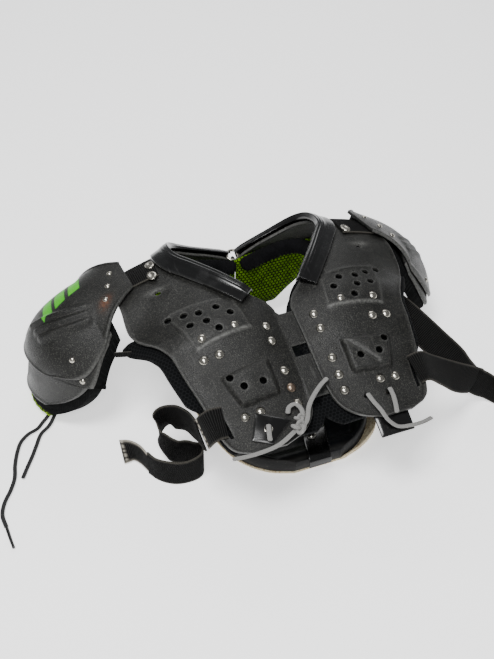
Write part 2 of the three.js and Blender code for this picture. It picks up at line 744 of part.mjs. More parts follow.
// Foam under the lower back pad, bared past its rim at the front right
function lowerPadFoam() {
  const alongs = [0, 0.025, 0.06, 0.11, 0.17, 0.22, 0.3, 0.45, 0.6, 0.72];
  const bare = (along) => Math.sin(Math.PI * THREE.MathUtils.clamp((along + 0.02) / 0.22, 0, 1));
  const columns = [-1, 0, 1, 2, 3];
  const face = (lifted) => (u, v) => {
    if (v <= 1) return lowerPad(u, v, lifted ? foamWall : 0, 1);
    const reach = v === 2 ? clearance : 2 * clearance + foamBareReach * bare(u);
    return lowerPad(u, 1, lifted ? foamWall + foamBareRise * bare(u) : 0, 1 + clearance + reach);
  };
  return wallBetween(face(true), face(false), alongs, columns);
}

for (const { side, tag } of halves) {
  add(`arch_plate_${tag}`, archPlate(side), paint.plate);
  add(`neck_collar_${tag}`, collar(side), paint.gloss);
  add(`neck_roll_${tag}`, neckRoll(side), paint.roll);
  add(`front_pad_${tag}`, bodyPad(side, 0.02, 0.418, bandWall + softClearance, padThickness, 8, 4), paint.mesh);
  add(`back_pad_${tag}`, bodyPad(side, 0.79, 0.985, 0, backPadThickness, 3, 5), paint.lime);
  add(`cap_webbing_${tag}`, capWebbing(side), paint.webbing);
  add(`shoulder_cap_${tag}`, capLayer(tag, side, capPlan, 0, 1, 0, capWall, 9, 8), paint.plate);
  const { flapTo, padTo } = capShapes[tag];
  const flapDepth = capWall + tierGap;
  add(`cap_flap_${tag}`, capLayer(tag, side, tierPlan, 0.24, flapTo, flapDepth, capWall, 7, 8), paint.plate);
  const padUnder = flapDepth + capWall + tierGap;
  add(`cap_pad_${tag}`, capLayer(tag, side, tierPlan, 0.2, padTo, padUnder, capPadThickness, 7, 8), paint.mesh);
}

add('breast_band_upper', breastBand(0.243, 0.347), paint.plate);
add('breast_band_lower', breastBand(0.1, 0.212), paint.plate);
add('lower_back_pad', lowerPadBody(), paint.lining);
add('lower_back_foam', lowerPadFoam(), paint.foam);

const lacePlateCorners = [
  { x: 0.25, run: 0.055 },
  { x: 0.42, run: 0.008 },
  { x: 0.535, run: 0.03 },
  { x: 0.455, run: 0.095 },
];
add('lace_plate_l', platePatch(-1, lacePlateCorners, -clearance - hardwareWall, hardwareWall), paint.gloss);
const laceTabCorners = [
  { x: 0.28, run: 0.05 },
  { x: 0.27, run: -0.045 },
  { x: 0.5, run: -0.045 },
  { x: 0.52, run: 0.05 },
];
add('lace_tab_r', platePatch(1, laceTabCorners, plateWall + 2 * softClearance, hardwareWall), paint.gloss);

const laceTongueRows = [
  { x: 18, y: -34, z: 15.5, wx: 1, wy: 0.35, wz: 0 },
  { x: 13, y: -47, z: 17.5, wx: 1, wy: 0.35, wz: 0 },
  { x: 8, y: -60, z: 23, wx: 1, wy: 0.3, wz: 0 },
  { x: 3, y: -76, z: 25.5, wx: 1, wy: 0.2, wz: 0 },
  { x: 0, y: -90, z: 25, wx: 1, wy: 0.1, wz: 0 },
  { x: -1, y: -97, z: 20, wx: 1, wy: 0, wz: 0 },
  { x: -1, y: -98, z: 12, wx: 1, wy: 0, wz: 0 },
];
add('lower_tongue', band(laceTongueRows, 26, hardwareWall, 14), paint.gloss);

for (const [name, rows] of Object.entries(straps)) {
  add(name, band(rows, name === 'hook_tab_l' ? strapWidth - 6 : strapWidth, strapWall, 2 * rows.length), paint.webbing);
}
add('cap_tie_l', band(capTie, 6, strapWall, 2), paint.webbing);

const points = (rows) => rows.map((p) => new THREE.Vector3(p.x, p.y, p.z));
for (const [name, rows] of Object.entries(laces)) {
  const black = name.startsWith('shoelace');
  const radius = (black ? shoelaceWidth : laceWidth) / 2;
  add(name, tube(points(rows), radius, 8, 2 * rows.length - 2), black ? paint.webbing : paint.lace);
}
add('shoelace_tip', tube(points(shoelaceTip), shoelaceWidth / 2 - 0.3, 8, 2), paint.gloss);

const napeRing = new THREE.TorusGeometry(7.4, 1.7, 7, 14);
napeRing.rotateX(0.35);
napeRing.translate(0.2, 178, 104.5);
add('nape_ring', napeRing, paint.steel);

// The origin is at the foot of the pads, in the middle of their box, free laces left out
const isFreeLace = (name) => name in laces || name === 'shoelace_tip';
const box = new THREE.Box3();
for (const mesh of group.children) {
  if (!isFreeLace(mesh.name)) box.expandByObject(mesh, true);
}
const middle = box.getCenter(new THREE.Vector3());
for (const mesh of group.children) mesh.geometry.translate(-middle.x, -middle.y, -box.min.z);

export default group;
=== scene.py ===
import math
import bpy
import numpy as np
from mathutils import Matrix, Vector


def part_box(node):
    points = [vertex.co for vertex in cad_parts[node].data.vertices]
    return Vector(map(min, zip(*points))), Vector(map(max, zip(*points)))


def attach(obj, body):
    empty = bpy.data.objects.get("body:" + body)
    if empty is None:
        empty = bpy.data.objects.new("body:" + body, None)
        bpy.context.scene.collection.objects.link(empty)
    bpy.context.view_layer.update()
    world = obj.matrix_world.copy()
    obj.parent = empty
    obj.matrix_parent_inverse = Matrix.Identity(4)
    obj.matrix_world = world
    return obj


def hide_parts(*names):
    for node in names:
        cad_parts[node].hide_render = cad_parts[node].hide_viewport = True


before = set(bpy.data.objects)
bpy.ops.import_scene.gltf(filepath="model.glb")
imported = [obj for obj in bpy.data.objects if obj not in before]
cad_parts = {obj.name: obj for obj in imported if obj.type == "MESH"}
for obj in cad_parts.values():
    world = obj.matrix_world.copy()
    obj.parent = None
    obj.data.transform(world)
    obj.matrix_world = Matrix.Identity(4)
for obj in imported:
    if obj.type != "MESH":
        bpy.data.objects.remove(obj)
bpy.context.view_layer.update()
print("frame loaded")

# Sizes shared with the part, in millimetres
archLength, plateReach, plateWall = 441, 165, 3.2
padHeight, padDepth, hemY, crownX = 160, 312, -127, 68
clearance, softClearance = 0.35, 0.8
halves = {"l": -1, "r": 1}

lowL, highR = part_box("arch_plate_l")[0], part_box("arch_plate_r")[1]
home = np.array([(lowL.x + highR.x) / 2, lowL.y - hemY * 0.001, 0.0001])


def place(points):  # millimetres of the pads' own frame to metres of the row frame
    return np.asarray(points, float) * 0.001 + home


# Camera
camera = bpy.data.objects.new("camera", bpy.data.cameras.new("camera"))
bpy.context.scene.collection.objects.link(camera)
camera.data.lens = 54.63
camera.data.sensor_width = 36
camera.data.clip_end = 20
camera.location = place([-337.6, -747.8, 844.3])
camera.rotation_euler = (math.radians(90 - 41.15), 0, math.radians(-21.08))
bpy.context.scene.camera = camera

# Tables of the part: run along the arch, inner and outer edge, sideways bow
plateEdges = np.array([
    [0.0, 0.33, 0.53, 1.2], [0.018, 0.206, 0.642, 1.2], [0.045, 0.121, 0.69, 1.2],
    [0.08, 0.076, 0.712, 1.4], [0.136, 0.058, 0.739, 1.8], [0.181, 0.055, 0.764, 2.3],
    [0.238, 0.055, 0.794, 3.0], [0.295, 0.055, 0.818, 3.6], [0.33, 0.056, 0.855, 3.8],
    [0.363, 0.064, 0.9, 3.9], [0.39, 0.103, 0.939, 4.0], [0.413, 0.17, 0.967, 4.0],
    [0.451, 0.255, 1.0, 3.5], [0.51, 0.376, 1.0, 2.3], [0.556, 0.461, 1.0, 2.2],
    [0.595, 0.527, 0.99, 2.2], [0.635, 0.545, 0.97, 2.2], [0.673, 0.53, 0.921, 2.2],
    [0.703, 0.495, 0.88, 2.2], [0.731, 0.42, 0.845, 2.1], [0.755, 0.31, 0.815, 2.0],
    [0.776, 0.15, 0.788, 2.0], [0.792, 0.055, 0.76, 2.0], [0.828, 0.055, 0.7, 2.0],
    [0.885, 0.055, 0.6, 2.0], [0.923, 0.055, 0.515, 2.0], [0.955, 0.061, 0.412, 2.0],
    [0.98, 0.08, 0.327, 2.0], [1.0, 0.13, 0.24, 2.0]])
archProfile = np.array([
    [0.0, 0.6], [0.125, 0.688], [0.234, 0.794], [0.338, 0.888], [0.407, 0.941], [0.474, 0.975],
    [0.599, 0.997], [0.728, 0.997], [0.824, 0.981], [0.904, 0.931], [0.958, 0.838],
    [0.987, 0.7], [0.997, 0.5], [0.994, 0.281], [0.987, 0.088]])
neckEdge = np.array([
    [0.17, 0.413], [0.255, 0.451], [0.376, 0.51], [0.461, 0.556], [0.527, 0.595], [0.545, 0.635],
    [0.53, 0.673], [0.495, 0.703], [0.42, 0.731], [0.31, 0.755], [0.18, 0.772], [0.02, 0.787]])
rollPath = np.array([
    [0.13, 0.51, 0.82], [0.19, 0.56, 0.83], [0.25, 0.6, 0.815], [0.36, 0.665, 0.8], [0.47, 0.74, 0.775],
    [0.505, 0.82, 0.765], [0.455, 0.88, 0.75], [0.34, 0.905, 0.725], [0.19, 0.91, 0.685],
    [0.02, 0.91, 0.635]])
capPlan = np.array([[0, 0.34], [0.12, 0.55], [0.3, 0.86], [0.5, 1.0], [0.7, 1.0], [0.85, 0.9],
                    [0.95, 0.7], [1, 0.5]])
tierPlan = np.array([[0, 0.8], [0.25, 1.05], [0.5, 1.1], [0.72, 1.04], [0.88, 0.84], [1, 0.5]])
lowerPadPlan = np.array([[0, 0.28], [0.03, 0.52], [0.09, 0.74], [0.17, 0.88], [0.3, 0.97],
                         [0.5, 1.0], [0.62, 0.86], [0.72, 0.6], [0.8, 0.5], [1, 0.46]])
lowerPadPath = np.array([[-0.288, 0], [-0.192, 0], [0, 0], [0.224, 0], [0.449, 0], [0.575, 0.01],
                         [0.632, 0.22], [0.647, 0.6], [0.647, 1.0]])


def smooth(value, low, high):  # smoothstep: 3t^2 - 2t^3 of t = (value - low) / (high - low)
    t = np.clip((value - low) / (high - low), 0, 1)
    return t * t * (3 - 2 * t)


def bell(distance, width):  # exp(-(distance / width)^2)
    return np.exp(-(distance / width) ** 2)


def column(table, key, at):  # cubic between the rows of a table, each slope the secant of its neighbours
    keys, values = table[:, 0], table[:, key]
    at = np.asarray(at, float)
    i = np.searchsorted(keys[1:-1], at, side="left")
    before, after = np.maximum(i - 1, 0), np.minimum(i + 2, len(keys) - 1)
    step = keys[i + 1] - keys[i]
    s = np.clip((at - keys[i]) / step, 0, 1)
    slopeA = (values[i + 1] - values[before]) / (keys[i + 1] - keys[before]) * step
    slopeB = (values[after] - values[i]) / (keys[after] - keys[i]) * step
    s2, s3 = s * s, s ** 3
    return ((2 * s3 - 3 * s2 + 1) * values[i] + (s3 - 2 * s2 + s) * slopeA
            + (3 * s2 - 2 * s3) * values[i + 1] + (s3 - s2) * slopeB)


def curveThrough(points, t):  # centripetal Catmull-Rom through the points, t from 0 to 1
    p = np.asarray(points, float)
    t = np.asarray(t, float)
    ends = np.vstack([2 * p[0] - p[1], p, 2 * p[-1] - p[-2]])
    at = np.clip(t, 0, 1) * (len(p) - 1)
    i = np.minimum(at.astype(int), len(p) - 2)
    w = (at - i)[:, None]
    a, b, c, d = ends[i], ends[i + 1], ends[i + 2], ends[i + 3]
    gap = lambda m, n: np.maximum(np.sum((m - n) ** 2, 1) ** 0.25, 1e-4)[:, None]
    d0, d1, d2 = gap(a, b), gap(b, c), gap(c, d)
    m1 = ((b - a) / d0 - (c - a) / (d0 + d1) + (c - b) / d1) * d1
    m2 = ((c - b) / d1 - (d - b) / (d1 + d2) + (d - c) / d2) * d1
    return b + m1 * w + (3 * c - 3 * b - 2 * m1 - m2) * w ** 2 + (2 * b - 2 * c + m1 + m2) * w ** 3


def unit(vectors):
    return vectors / np.linalg.norm(vectors, axis=-1, keepdims=True)


def lengthOf(path):  # length from the path's start to each of its points
    return np.concatenate([[0], np.cumsum(np.linalg.norm(np.diff(path, axis=0), axis=1))])


def gridOf(rows, cols, along=(0, 1), across=(0, 1)):  # shares as a column of rows and a row of cols
    return np.linspace(*along, rows)[:, None], np.linspace(*across, cols)[None]


def circleOf(sides):  # cosine and sine round a circle
    angle = np.linspace(0, 2 * np.pi, sides, endpoint=False)
    return np.stack([np.cos(angle), np.sin(angle)], 1)


def evenly(points, count):  # the curve through the points at even lengths along it
    dense = curveThrough(points, np.linspace(0, 1, 2000))
    run = lengthOf(dense)
    at = np.linspace(0, run[-1], count)
    return np.stack([np.interp(at, run, dense[:, k]) for k in range(dense.shape[1])], 1), run[-1]


archPoints, _ = evenly(np.stack([hemY + archProfile[:, 0] * padDepth,
                                     archProfile[:, 1] * padHeight], 1), 4001)
archShare = np.linspace(0, 1, 4001)
archTangent = unit(np.gradient(archPoints, axis=0))


def skin(x, run, depth=0):  # the plates' outer face: the arch less bow * (|x| - crownX)^2 and depth, along its normal
    x, run, depth = np.broadcast_arrays(*[np.asarray(v, float) for v in (x, run, depth)])
    at = np.clip(run, 0, 1)
    y, z = (np.interp(at, archShare, archPoints[:, k]) for k in (0, 1))
    ty, tz = (np.interp(at, archShare, archTangent[:, k]) for k in (0, 1))
    fall = column(plateEdges, 3, at) / 1000 * (np.abs(x) - crownX) ** 2 + depth
    past = (run - at) * archLength
    return np.stack([x, y + tz * fall + ty * past, z - ty * fall + tz * past], -1)


def runAt(y):  # share of the arch at a place y on its front and top
    top = np.argmax(archPoints[:, 0])
    return np.interp(y, archPoints[:top, 0], archShare[:top])


def skinNormal(x, run):  # from the differences half a millimetre either way
    e = 0.5
    a = skin(x + e, run) - skin(x - e, run)
    b = skin(x, run + e / archLength) - skin(x, run - e / archLength)
    return unit(np.cross(a, b))


# Meshes
def makeObject(name, points, faces, uv=None, marks=None):
    mesh = bpy.data.meshes.new(name)
    mesh.from_pydata(place(points).tolist(), [], faces)
    if uv is not None:
        corner = np.zeros(len(mesh.loops), np.int32)
        mesh.loops.foreach_get("vertex_index", corner)
        layer = mesh.uv_layers.new(name="UVMap")
        layer.data.foreach_set("uv", np.asarray(uv, np.float32)[corner].ravel())
    for key, values in (marks or {}).items():
        mesh.attributes.new(key, "FLOAT", "POINT").data.foreach_set("value", np.asarray(values, np.float32))
    mesh.validate()
    mesh.shade_smooth()
    obj = bpy.data.objects.new(name, mesh)
    bpy.context.scene.collection.objects.link(obj)
    return obj


def quads(rows, cols, base=0, around=False):  # quads of a grid of rows by cols, as an array of four corners
    i, j = np.meshgrid(np.arange(rows - 1), np.arange(cols if around else cols - 1), indexing="ij")
    a = (base + i * cols + j).ravel()
    b = (base + i * cols + (j + 1) % cols).ravel()
    return np.stack([a, b, b + cols, a + cols], 1)


def outward(points, faces):  # the faces, turned over where their signed volume, from fans, is below zero
    fans = (np.cross(points[faces[:, k]], points[faces[:, k + 1]]) for k in (1, 2))
    volume = sum(np.einsum("ij,ij->", points[faces[:, 0]], fan) for fan in fans)
    return faces[:, ::-1] if volume < 0 else faces


def shell(name, outer, inner, uv, marks=None, kept=None):
    # closed wall between two faces of one grid, over the kept quads, with a side quad at each open edge
    n, m = outer.shape[:2]
    size = n * m
    kept = quads(n, m) if kept is None else kept
    edges = np.concatenate([kept[:, [k, (k + 1) % 4]] for k in range(4)])
    key = np.sort(edges, 1)
    _, first, count = np.unique(key[:, 0] * (size + 1) + key[:, 1], return_index=True, return_counts=True)
    rim = edges[first[count == 1]]
    points = np.concatenate([outer.reshape(-1, 3), inner.reshape(-1, 3)])
    faces = outward(points, np.concatenate([kept, kept[:, ::-1] + size,
                                            np.concatenate([rim[:, ::-1], rim + size], 1)]))
    used = np.unique(faces)
    index = np.zeros(2 * size, int)
    index[used] = np.arange(len(used))
    uv = np.concatenate([uv.reshape(-1, 2)] * 2)[used]
    full = {k: (v + 0.0 * outer[..., 0]).ravel() for k, v in (marks or {}).items()}
    marks = {k: np.concatenate([v * (k != "underTrim"), v])[used] for k, v in full.items()}
    return makeObject(name, points[used], index[faces].tolist(), uv, marks)


def sweep(name, path, rings, up=(0, 0, 1)):
    # closed tube: path + side * ring[..., 0] + rise * ring[..., 1], side square to the path and to up
    tangent = unit(np.gradient(path, axis=0))
    side = unit(np.cross(tangent, np.asarray(up, float)))
    rise = np.cross(side, tangent)
    grid = path[:, None] + side[:, None] * rings[..., :1] + rise[:, None] * rings[..., 1:]
    n, m = grid.shape[:2]
    points, faces = grid.reshape(-1, 3), quads(n, m, around=True)
    ends = [list(range(m))[::-1], list(range(n * m - m, n * m))]
    turnedOver = outward(points, faces)
    if turnedOver is not faces:
        faces, ends = turnedOver, [end[::-1] for end in ends]
    around = np.linspace(0, 2 * np.pi * np.abs(rings).max(), m)
    uv = np.stack(np.meshgrid(lengthOf(path), around, indexing="ij"), -1).reshape(-1, 2)
    return makeObject(name, points, faces.tolist() + ends, uv)


def roundEnds(length, count, radius):  # share of the radius along a tube whose ends are rounded off
    d = np.linspace(0, length, count)
    near = np.minimum(np.minimum(d, length - d) / radius, 1)
    return np.maximum(np.sqrt(1 - (1 - near) ** 2), 0.06)


def finished(obj, material, slot, *nodes, edge=0.0, angle=50, fill=None):
    # material, body and nodes; bevels sharp edges by edge millimetres
    obj.data.materials.clear()
    obj.data.materials.append(material)
    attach(obj, "root")
    if nodes:
        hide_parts(*nodes)
    if edge:
        bevel = obj.modifiers.new("edges", "BEVEL")
        bevel.width = edge * 0.001
        bevel.segments = 2
        bevel.limit_method = "ANGLE"
        bevel.angle_limit = math.radians(angle)
        bevel.use_clamp_overlap = True
    return obj


# Materials
def linear(r, g, b):  # 0 to 255 of a picture to linear light
    c = np.array([r, g, b]) / 255
    return tuple(np.where(c <= 0.04045, c / 12.92, ((c + 0.055) / 1.055) ** 2.4).tolist())


def feed(socket, value):  # a link from another socket, or a set value
    if isinstance(value, bpy.types.NodeSocket):
        socket.id_data.links.new(value, socket)
    else:
        socket.default_value = (*value, 1) if socket.type == "RGBA" and len(value) == 3 else value


def newFinish(name, color, roughness, **sockets):
    material = bpy.data.materials.new(name)
    material.use_nodes = True
    base = material.node_tree.nodes["Principled BSDF"]
    for key, value in {"Base_Color": color, "Roughness": roughness, **sockets}.items():
        feed(base.inputs[key.replace("_", " ")], value)
    return material, base


def addNode(kind, feeds, **settings):  # a node in the tree of the first socket among its feeds, by index or name
    tree = next(v.id_data for v in feeds.values() if isinstance(v, bpy.types.NodeSocket))
    made = tree.nodes.new("ShaderNode" + kind)
    for key, value in settings.items():
        setattr(made, key, value)
    for key, value in feeds.items():
        feed(made.inputs[key], value)
    return made


def calc(operation, *values):
    return addNode("Math", dict(enumerate(values)), operation=operation).outputs[0]


def times(a, b):
    return calc("MULTIPLY", a, b)


def plus(a, b):
    return calc("ADD", a, b)


def less(a, b):
    return calc("SUBTRACT", a, b)


def sineOf(value, length):  # sine with one turn to the length
    return calc("SINE", times(value, 2 * math.pi / length))


def cellOf(value, size, shift):  # -0.5 to 0.5 across each cell of the size
    return less(calc("FRACT", plus(calc("DIVIDE", value, size), shift)), 0.5)


def coords(base, kind="Object"):
    return base.id_data.nodes.new("ShaderNodeTexCoord").outputs[kind]


def uvOf(base):
    return addNode("SeparateXYZ", {0: coords(base, "UV")}).outputs[:2]


def mark(base, name):
    made = base.id_data.nodes.new("ShaderNodeAttribute")
    made.attribute_name = name
    return made.outputs["Fac"]


def noise(vector, scale, detail, stretch=None):
    if stretch:
        vector = addNode("Mapping", {"Vector": vector, "Scale": stretch}).outputs[0]
    return addNode("TexNoise", {"Vector": vector, "Scale": scale, "Detail": detail}).outputs[0]


def span(value, low, high, to0=0.0, to1=1.0):  # smoothstep from low..high to to0..to1
    feeds = dict(enumerate((value, low, high, to0, to1)))
    return addNode("MapRange", feeds, interpolation_type="SMOOTHSTEP").outputs[0]


def clouds(vector, scale, detail, low, high, *to, stretch=None):  # noise through a span
    return span(noise(vector, scale, detail, stretch), low, high, *to)


def blend(factor, a, b):
    return addNode("Mix", {0: factor, 6: a, 7: b}, data_type="RGBA").outputs[2]


def dress(base, tone, height, distance, strength, rough=None):  # colour, bump of height * distance metres, roughness
    feed(base.inputs["Base Color"], tone)
    bump = addNode("Bump", {"Height": height, "Distance": distance, "Strength": strength})
    feed(base.inputs["Normal"], bump.outputs[0])
    if rough:
        feed(base.inputs["Roughness"], rough)


def netOf(base, cell):  # distance, in cells, to the nearest hole of a hexagon net: two lattices half a cell apart
    u, v = uvOf(base)
    away = []
    for shift in (40.0, 40.5):
        a, b = cellOf(u, cell, shift), times(cellOf(v, cell * 1.732, shift), 1.732)
        away.append(calc("SQRT", plus(times(a, a), times(b, b))))
    return calc("MINIMUM", *away)


def barsOf(base, bars):  # 1 on the slanted bars, from the cap's own uv in millimetres
    u, v = uvOf(base)
    u, v = less(u, bars["u"]), less(v, bars["v"])
    c, s = math.cos(bars["turn"]), math.sin(bars["turn"])
    across, along = plus(times(u, c), times(v, s)), less(times(v, c), times(u, s))
    inBars = calc("LESS_THAN", calc("ABSOLUTE", across), bars["pitch"] * 1.5)
    cell = times(calc("ABSOLUTE", cellOf(across, bars["pitch"], 10.5)), bars["pitch"])
    slanted = calc("ABSOLUTE", plus(along, times(across, bars["slant"])))
    wide = span(cell, bars["width"] / 2 - 0.3, bars["width"] / 2 + 0.3, 1.0, 0.0)
    long = span(slanted, bars["length"] / 2 - 0.4, bars["length"] / 2 + 0.4, 1.0, 0.0)
    return times(times(wide, long), inBars)


def plasticFinish(name, color, rough, bars=None):
    # moulded plastic: pebbled grain, pale specks painted as glints on the grain, pale scuffs and a painted highlight
    # along edges and ridges from the mesh's edge mark, rust where the rust mark is
    material, base = newFinish(name, color, rough, Specular_IOR_Level=0.28)
    here = coords(base)
    cloud = clouds(here, 26, 3, 0.35, 0.7)
    # pale specks: painted glints of light on the pebbled grain
    glintSpeck = clouds(here, 1000, 2, 0.52, 0.68)
    scratch = clouds(here, 240, 3, 0.66, 0.72, stretch=(1, 0.06, 0.35))
    # pale edge lines from the mark: partly scuffs, partly a painted highlight along rims, ridges and the pocket's
    # crest
    wornAndEdgeLit = times(mark(base, "wearAndEdgeHighlight"), clouds(here, 420, 4, 0.34, 0.62, 0.4, 1.0))
    rust = times(mark(base, "rust"), clouds(here, 300, 3, 0.25, 0.6))
    scuffAndHighlightTone = linear(116, 116, 113)
    tone = blend(times(cloud, 0.4), color, tuple(min(1, c * 1.8 + 0.004) for c in color))
    if bars:
        tone = blend(barsOf(base, bars), tone, blend(cloud, linear(46, 150, 0), linear(62, 172, 0)))
    for share, over in ((times(glintSpeck, 0.5), linear(80, 80, 74)), (times(scratch, 0.1), scuffAndHighlightTone),
                        (times(wornAndEdgeLit, 0.7), scuffAndHighlightTone), (rust, linear(112, 66, 38))):
        tone = blend(share, tone, over)
    dress(base, tone, noise(here, 950, 2), 0.0006, 0.9, span(cloud, 0.0, 1.0, rough - 0.07, rough + 0.1))
    return material


def glossFinish(black=linear(6, 6, 6)):
    material, base = newFinish("black gloss plastic", black, 0.24)
    here = coords(base)
    scratch = clouds(here, 300, 3, 0.64, 0.7, stretch=(1, 0.08, 0.4))
    tone = blend(times(scratch, 0.12), black, linear(70, 70, 70))
    # paler along edges where the mark is: partly rubbing, partly a painted edge highlight
    tone = blend(times(mark(base, "wearAndEdgeHighlight"), 0.4), tone, linear(90, 90, 88))
    rough = span(clouds(here, 60, 4, 0.4, 0.7), 0.0, 1.0, 0.2, 0.28)
    dress(base, tone, noise(here, 240, 2), 0.0001, 0.5, rough)
    return material


def clothFinish(name, color, second, thread=0.9):  # plain woven cloth over padding
    material, base = newFinish(name, color, 0.95, Specular_IOR_Level=0.06)
    u, v = uvOf(base)
    weave = times(sineOf(u, thread), sineOf(v, thread))
    tone = blend(clouds(coords(base), 45, 4, 0.3, 0.7), color, second)
    tone = blend(span(weave, -0.6, 0.9, 0.3, 0.0), tone, linear(10, 10, 11))
    dress(base, tone, weave, 0.00025, 0.8)
    return material


def netFinish(name, under, thread, cell, hole=0.36, trim=None):  # net of hexagon cells drawn over foam
    material, base = newFinish(name, thread, 0.9, Specular_IOR_Level=0.08)
    here = coords(base)
    onThread = span(netOf(base, cell), hole, hole + 0.1)
    tone = blend(clouds(here, 90, 4, 0.3, 0.7), tuple(c * 0.55 for c in under), under)
    tone = blend(onThread, tone, thread)
    if trim:
        edge = calc("MAXIMUM", mark(base, "trim"), span(mark(base, "underTrim"), 0.5, 0.9))
        tone = blend(times(edge, clouds(here, 650, 3, 0.42, 0.56)), tone, trim)
    dress(base, tone, onThread, 0.0006, 0.9)
    return material


def webbingFinish(name, color, rib, light, chevron):  # ribs across the band, small chevrons, worn pale threads
    material, base = newFinish(name, color, 0.85, Specular_IOR_Level=0.1)
    u, v = uvOf(base)
    slant = plus(u, times(calc("ABSOLUTE", cellOf(v, 7.0, 0.0)), chevron))
    weave = plus(sineOf(slant, rib), times(sineOf(v, 0.8), 0.25))
    tone = blend(span(weave, -1.0, 1.1), tuple(c * 0.3 for c in color), light)
    tone = blend(times(clouds(coords(base), 700, 3, 0.64, 0.72), 0.25), tone, linear(80, 78, 75))
    tone = blend(mark(base, "wearAndEdgeHighlight"), tone, linear(178, 172, 160))
    dress(base, tone, weave, 0.0004, 1.0)
    return material


def liningFinish():
    material, base = newFinish("coated lining", linear(12, 15, 21), 0.42, Specular_IOR_Level=0.14)
    here = coords(base)
    cloud = clouds(here, 22, 4, 0.35, 0.7)
    tone = blend(cloud, linear(3, 4, 5), linear(8, 11, 15))
    tone = blend(times(clouds(here, 500, 3, 0.63, 0.7), 0.3), tone, linear(84, 82, 78))
    tone = blend(mark(base, "wearAndEdgeHighlight"), tone, linear(50, 48, 44))
    height = plus(noise(here, 70, 4), times(noise(here, 1300, 2), 0.15))
    dress(base, tone, height, 0.0012, 0.6, span(cloud, 0.0, 1.0, 0.36, 0.6))
    return material


def foamFinish():
    material, base = newFinish("bare foam", linear(196, 180, 148), 0.95)
    crumb = noise(coords(base), 420, 4)
    dress(base, blend(span(crumb, 0.3, 0.55), linear(176, 150, 108), linear(214, 202, 172)), crumb, 0.0006, 0.7)
    return material


def steelFinish(name, color, rough, rusted):
    material, base = newFinish(name, color, rough, Metallic=1.0 - 0.45 * rusted)
    here = coords(base)
    spot = clouds(here, 520, 4, 0.5, 0.68)
    dress(base, blend(spot, color, tuple(c * 0.6 for c in color)), noise(here, 700, 3), 0.00008 + 0.0003 * rusted,
          0.6, span(spot, 0.0, 1.0, rough, rough + 0.12))
    return material


def laceFinish(name, color, dark, strand=1.5):
    material, base = newFinish(name, color, 0.85, Sheen_Weight=0.05)
    u, v = uvOf(base)
    braid = calc("MAXIMUM", sineOf(plus(u, v), strand), sineOf(less(u, v), strand))
    dress(base, blend(span(braid, 0.0, 0.9), dark, color), braid, 0.0003, 0.8)
    return material


limeBars = {"u": 66.0, "v": 19.0, "turn": 0.12, "slant": 0.45, "pitch": 17.0, "width": 12.5, "length": 35.0}
plateFinish = plasticFinish("moulded plastic", linear(11, 11, 10), 0.46)
capFinish = plasticFinish("cap plastic", linear(9, 9, 8), 0.42)
barredFinish = plasticFinish("cap plastic with bars", linear(9, 9, 8), 0.42, limeBars)
gloss = glossFinish()
rollCloth = clothFinish("roll cloth", linear(9, 9, 10), linear(20, 20, 22))
blackNet = netFinish("black net", linear(7, 8, 9), linear(22, 23, 24), 4.2)
# the lime under the net is darkened to stand for the shade on the back pad: painted shade
limeNet = netFinish("lime net", linear(84, 122, 4), linear(4, 5, 3), 4.9, 0.35)
padCloth = {"l": netFinish("cap pad mesh l", linear(7, 8, 8), linear(19, 20, 20), 2.4, trim=linear(150, 190, 40)),
            "r": netFinish("cap pad mesh r", linear(7, 8, 8), linear(19, 20, 20), 2.4, trim=linear(24, 84, 160))}
webbing = webbingFinish("black webbing", linear(7, 7, 8), 2.2, linear(30, 30, 29), 0.4)
elastic = webbingFinish("ribbed elastic", linear(6, 6, 6), 2.2, linear(17, 17, 16), 3.0)
lining = liningFinish()
foam = foamFinish()
steel = steelFinish("rivet steel", linear(176, 172, 162), 0.2, 0)
darkSteel = steelFinish("dark rivet steel", linear(140, 138, 132), 0.2, 0)
rustySteel = steelFinish("rusted steel", linear(128, 112, 98), 0.3, 0.25)
greyLace = laceFinish("grey lace", linear(152, 151, 148), linear(88, 88, 86))
blackLace = laceFinish("black lace", linear(24, 24, 25), linear(7, 7, 8))
print("materials made")


# Laces and cords first: the part's own points
lacePoints = {
    "lace_loop_l": [[-43, -99, 108.2], [-39, -93, 111], [-32, -92, 112], [-28, -99, 110], [-31, -109, 108],
                    [-40, -118, 106], [-52, -125, 104.5], [-66, -130, 102], [-82, -131, 100],
                    [-98, -130, 98.5], [-114, -127, 97]],
    "lace_cross_l": [[13, -73, 117], [3, -78, 114.5], [-8, -86, 111], [-17, -95, 108.5], [-22, -103, 107.5],
                     [-25, -109, 108], [-29, -115, 108.5], [-35, -120, 108]],
    "lace_eyelet_l": [[-67, -106, 109], [-69, -112, 109], [-71, -119, 106], [-72, -124, 104.4]],
    "lace_long_r": [[46, -101, 108.5], [48, -112, 106], [51, -124, 103.5], [55, -134, 97], [63, -141, 91.5],
                    [78, -143, 89.3], [94, -140, 85.5], [108, -134, 81]],
    "lace_short_r": [[72, -101, 107.8], [71, -111, 107], [69, -122, 103.5], [67, -130, 99]],
    "shoelace": [[-255, 99, 5.2], [-262, 92, 2.6], [-270, 84, 2.6], [-278, 76, 2.6], [-290, 71, 2.6],
                 [-300, 62, 2.6], [-307, 48, 2.6], [-313, 30, 2.6], [-317, 12, 2.6], [-324, -3, 2.6],
                 [-334, -19, 2.6], [-339, -34, 2.6], [-338, -52, 2.6]],
    "shoelace_second": [[-251, 94, 5.4], [-264, 76, 3.2], [-276, 66, 2.8], [-284, 52, 2.6], [-292, 37, 2.6],
                        [-301, 22, 2.6], [-309, 8, 2.6]],
}
tipPoints = [[-337.9, -52.4, 2.6], [-337, -68, 2.6], [-336, -80, 2.6]]
laceWidth, shoelaceWidth = 5.1, 4.6


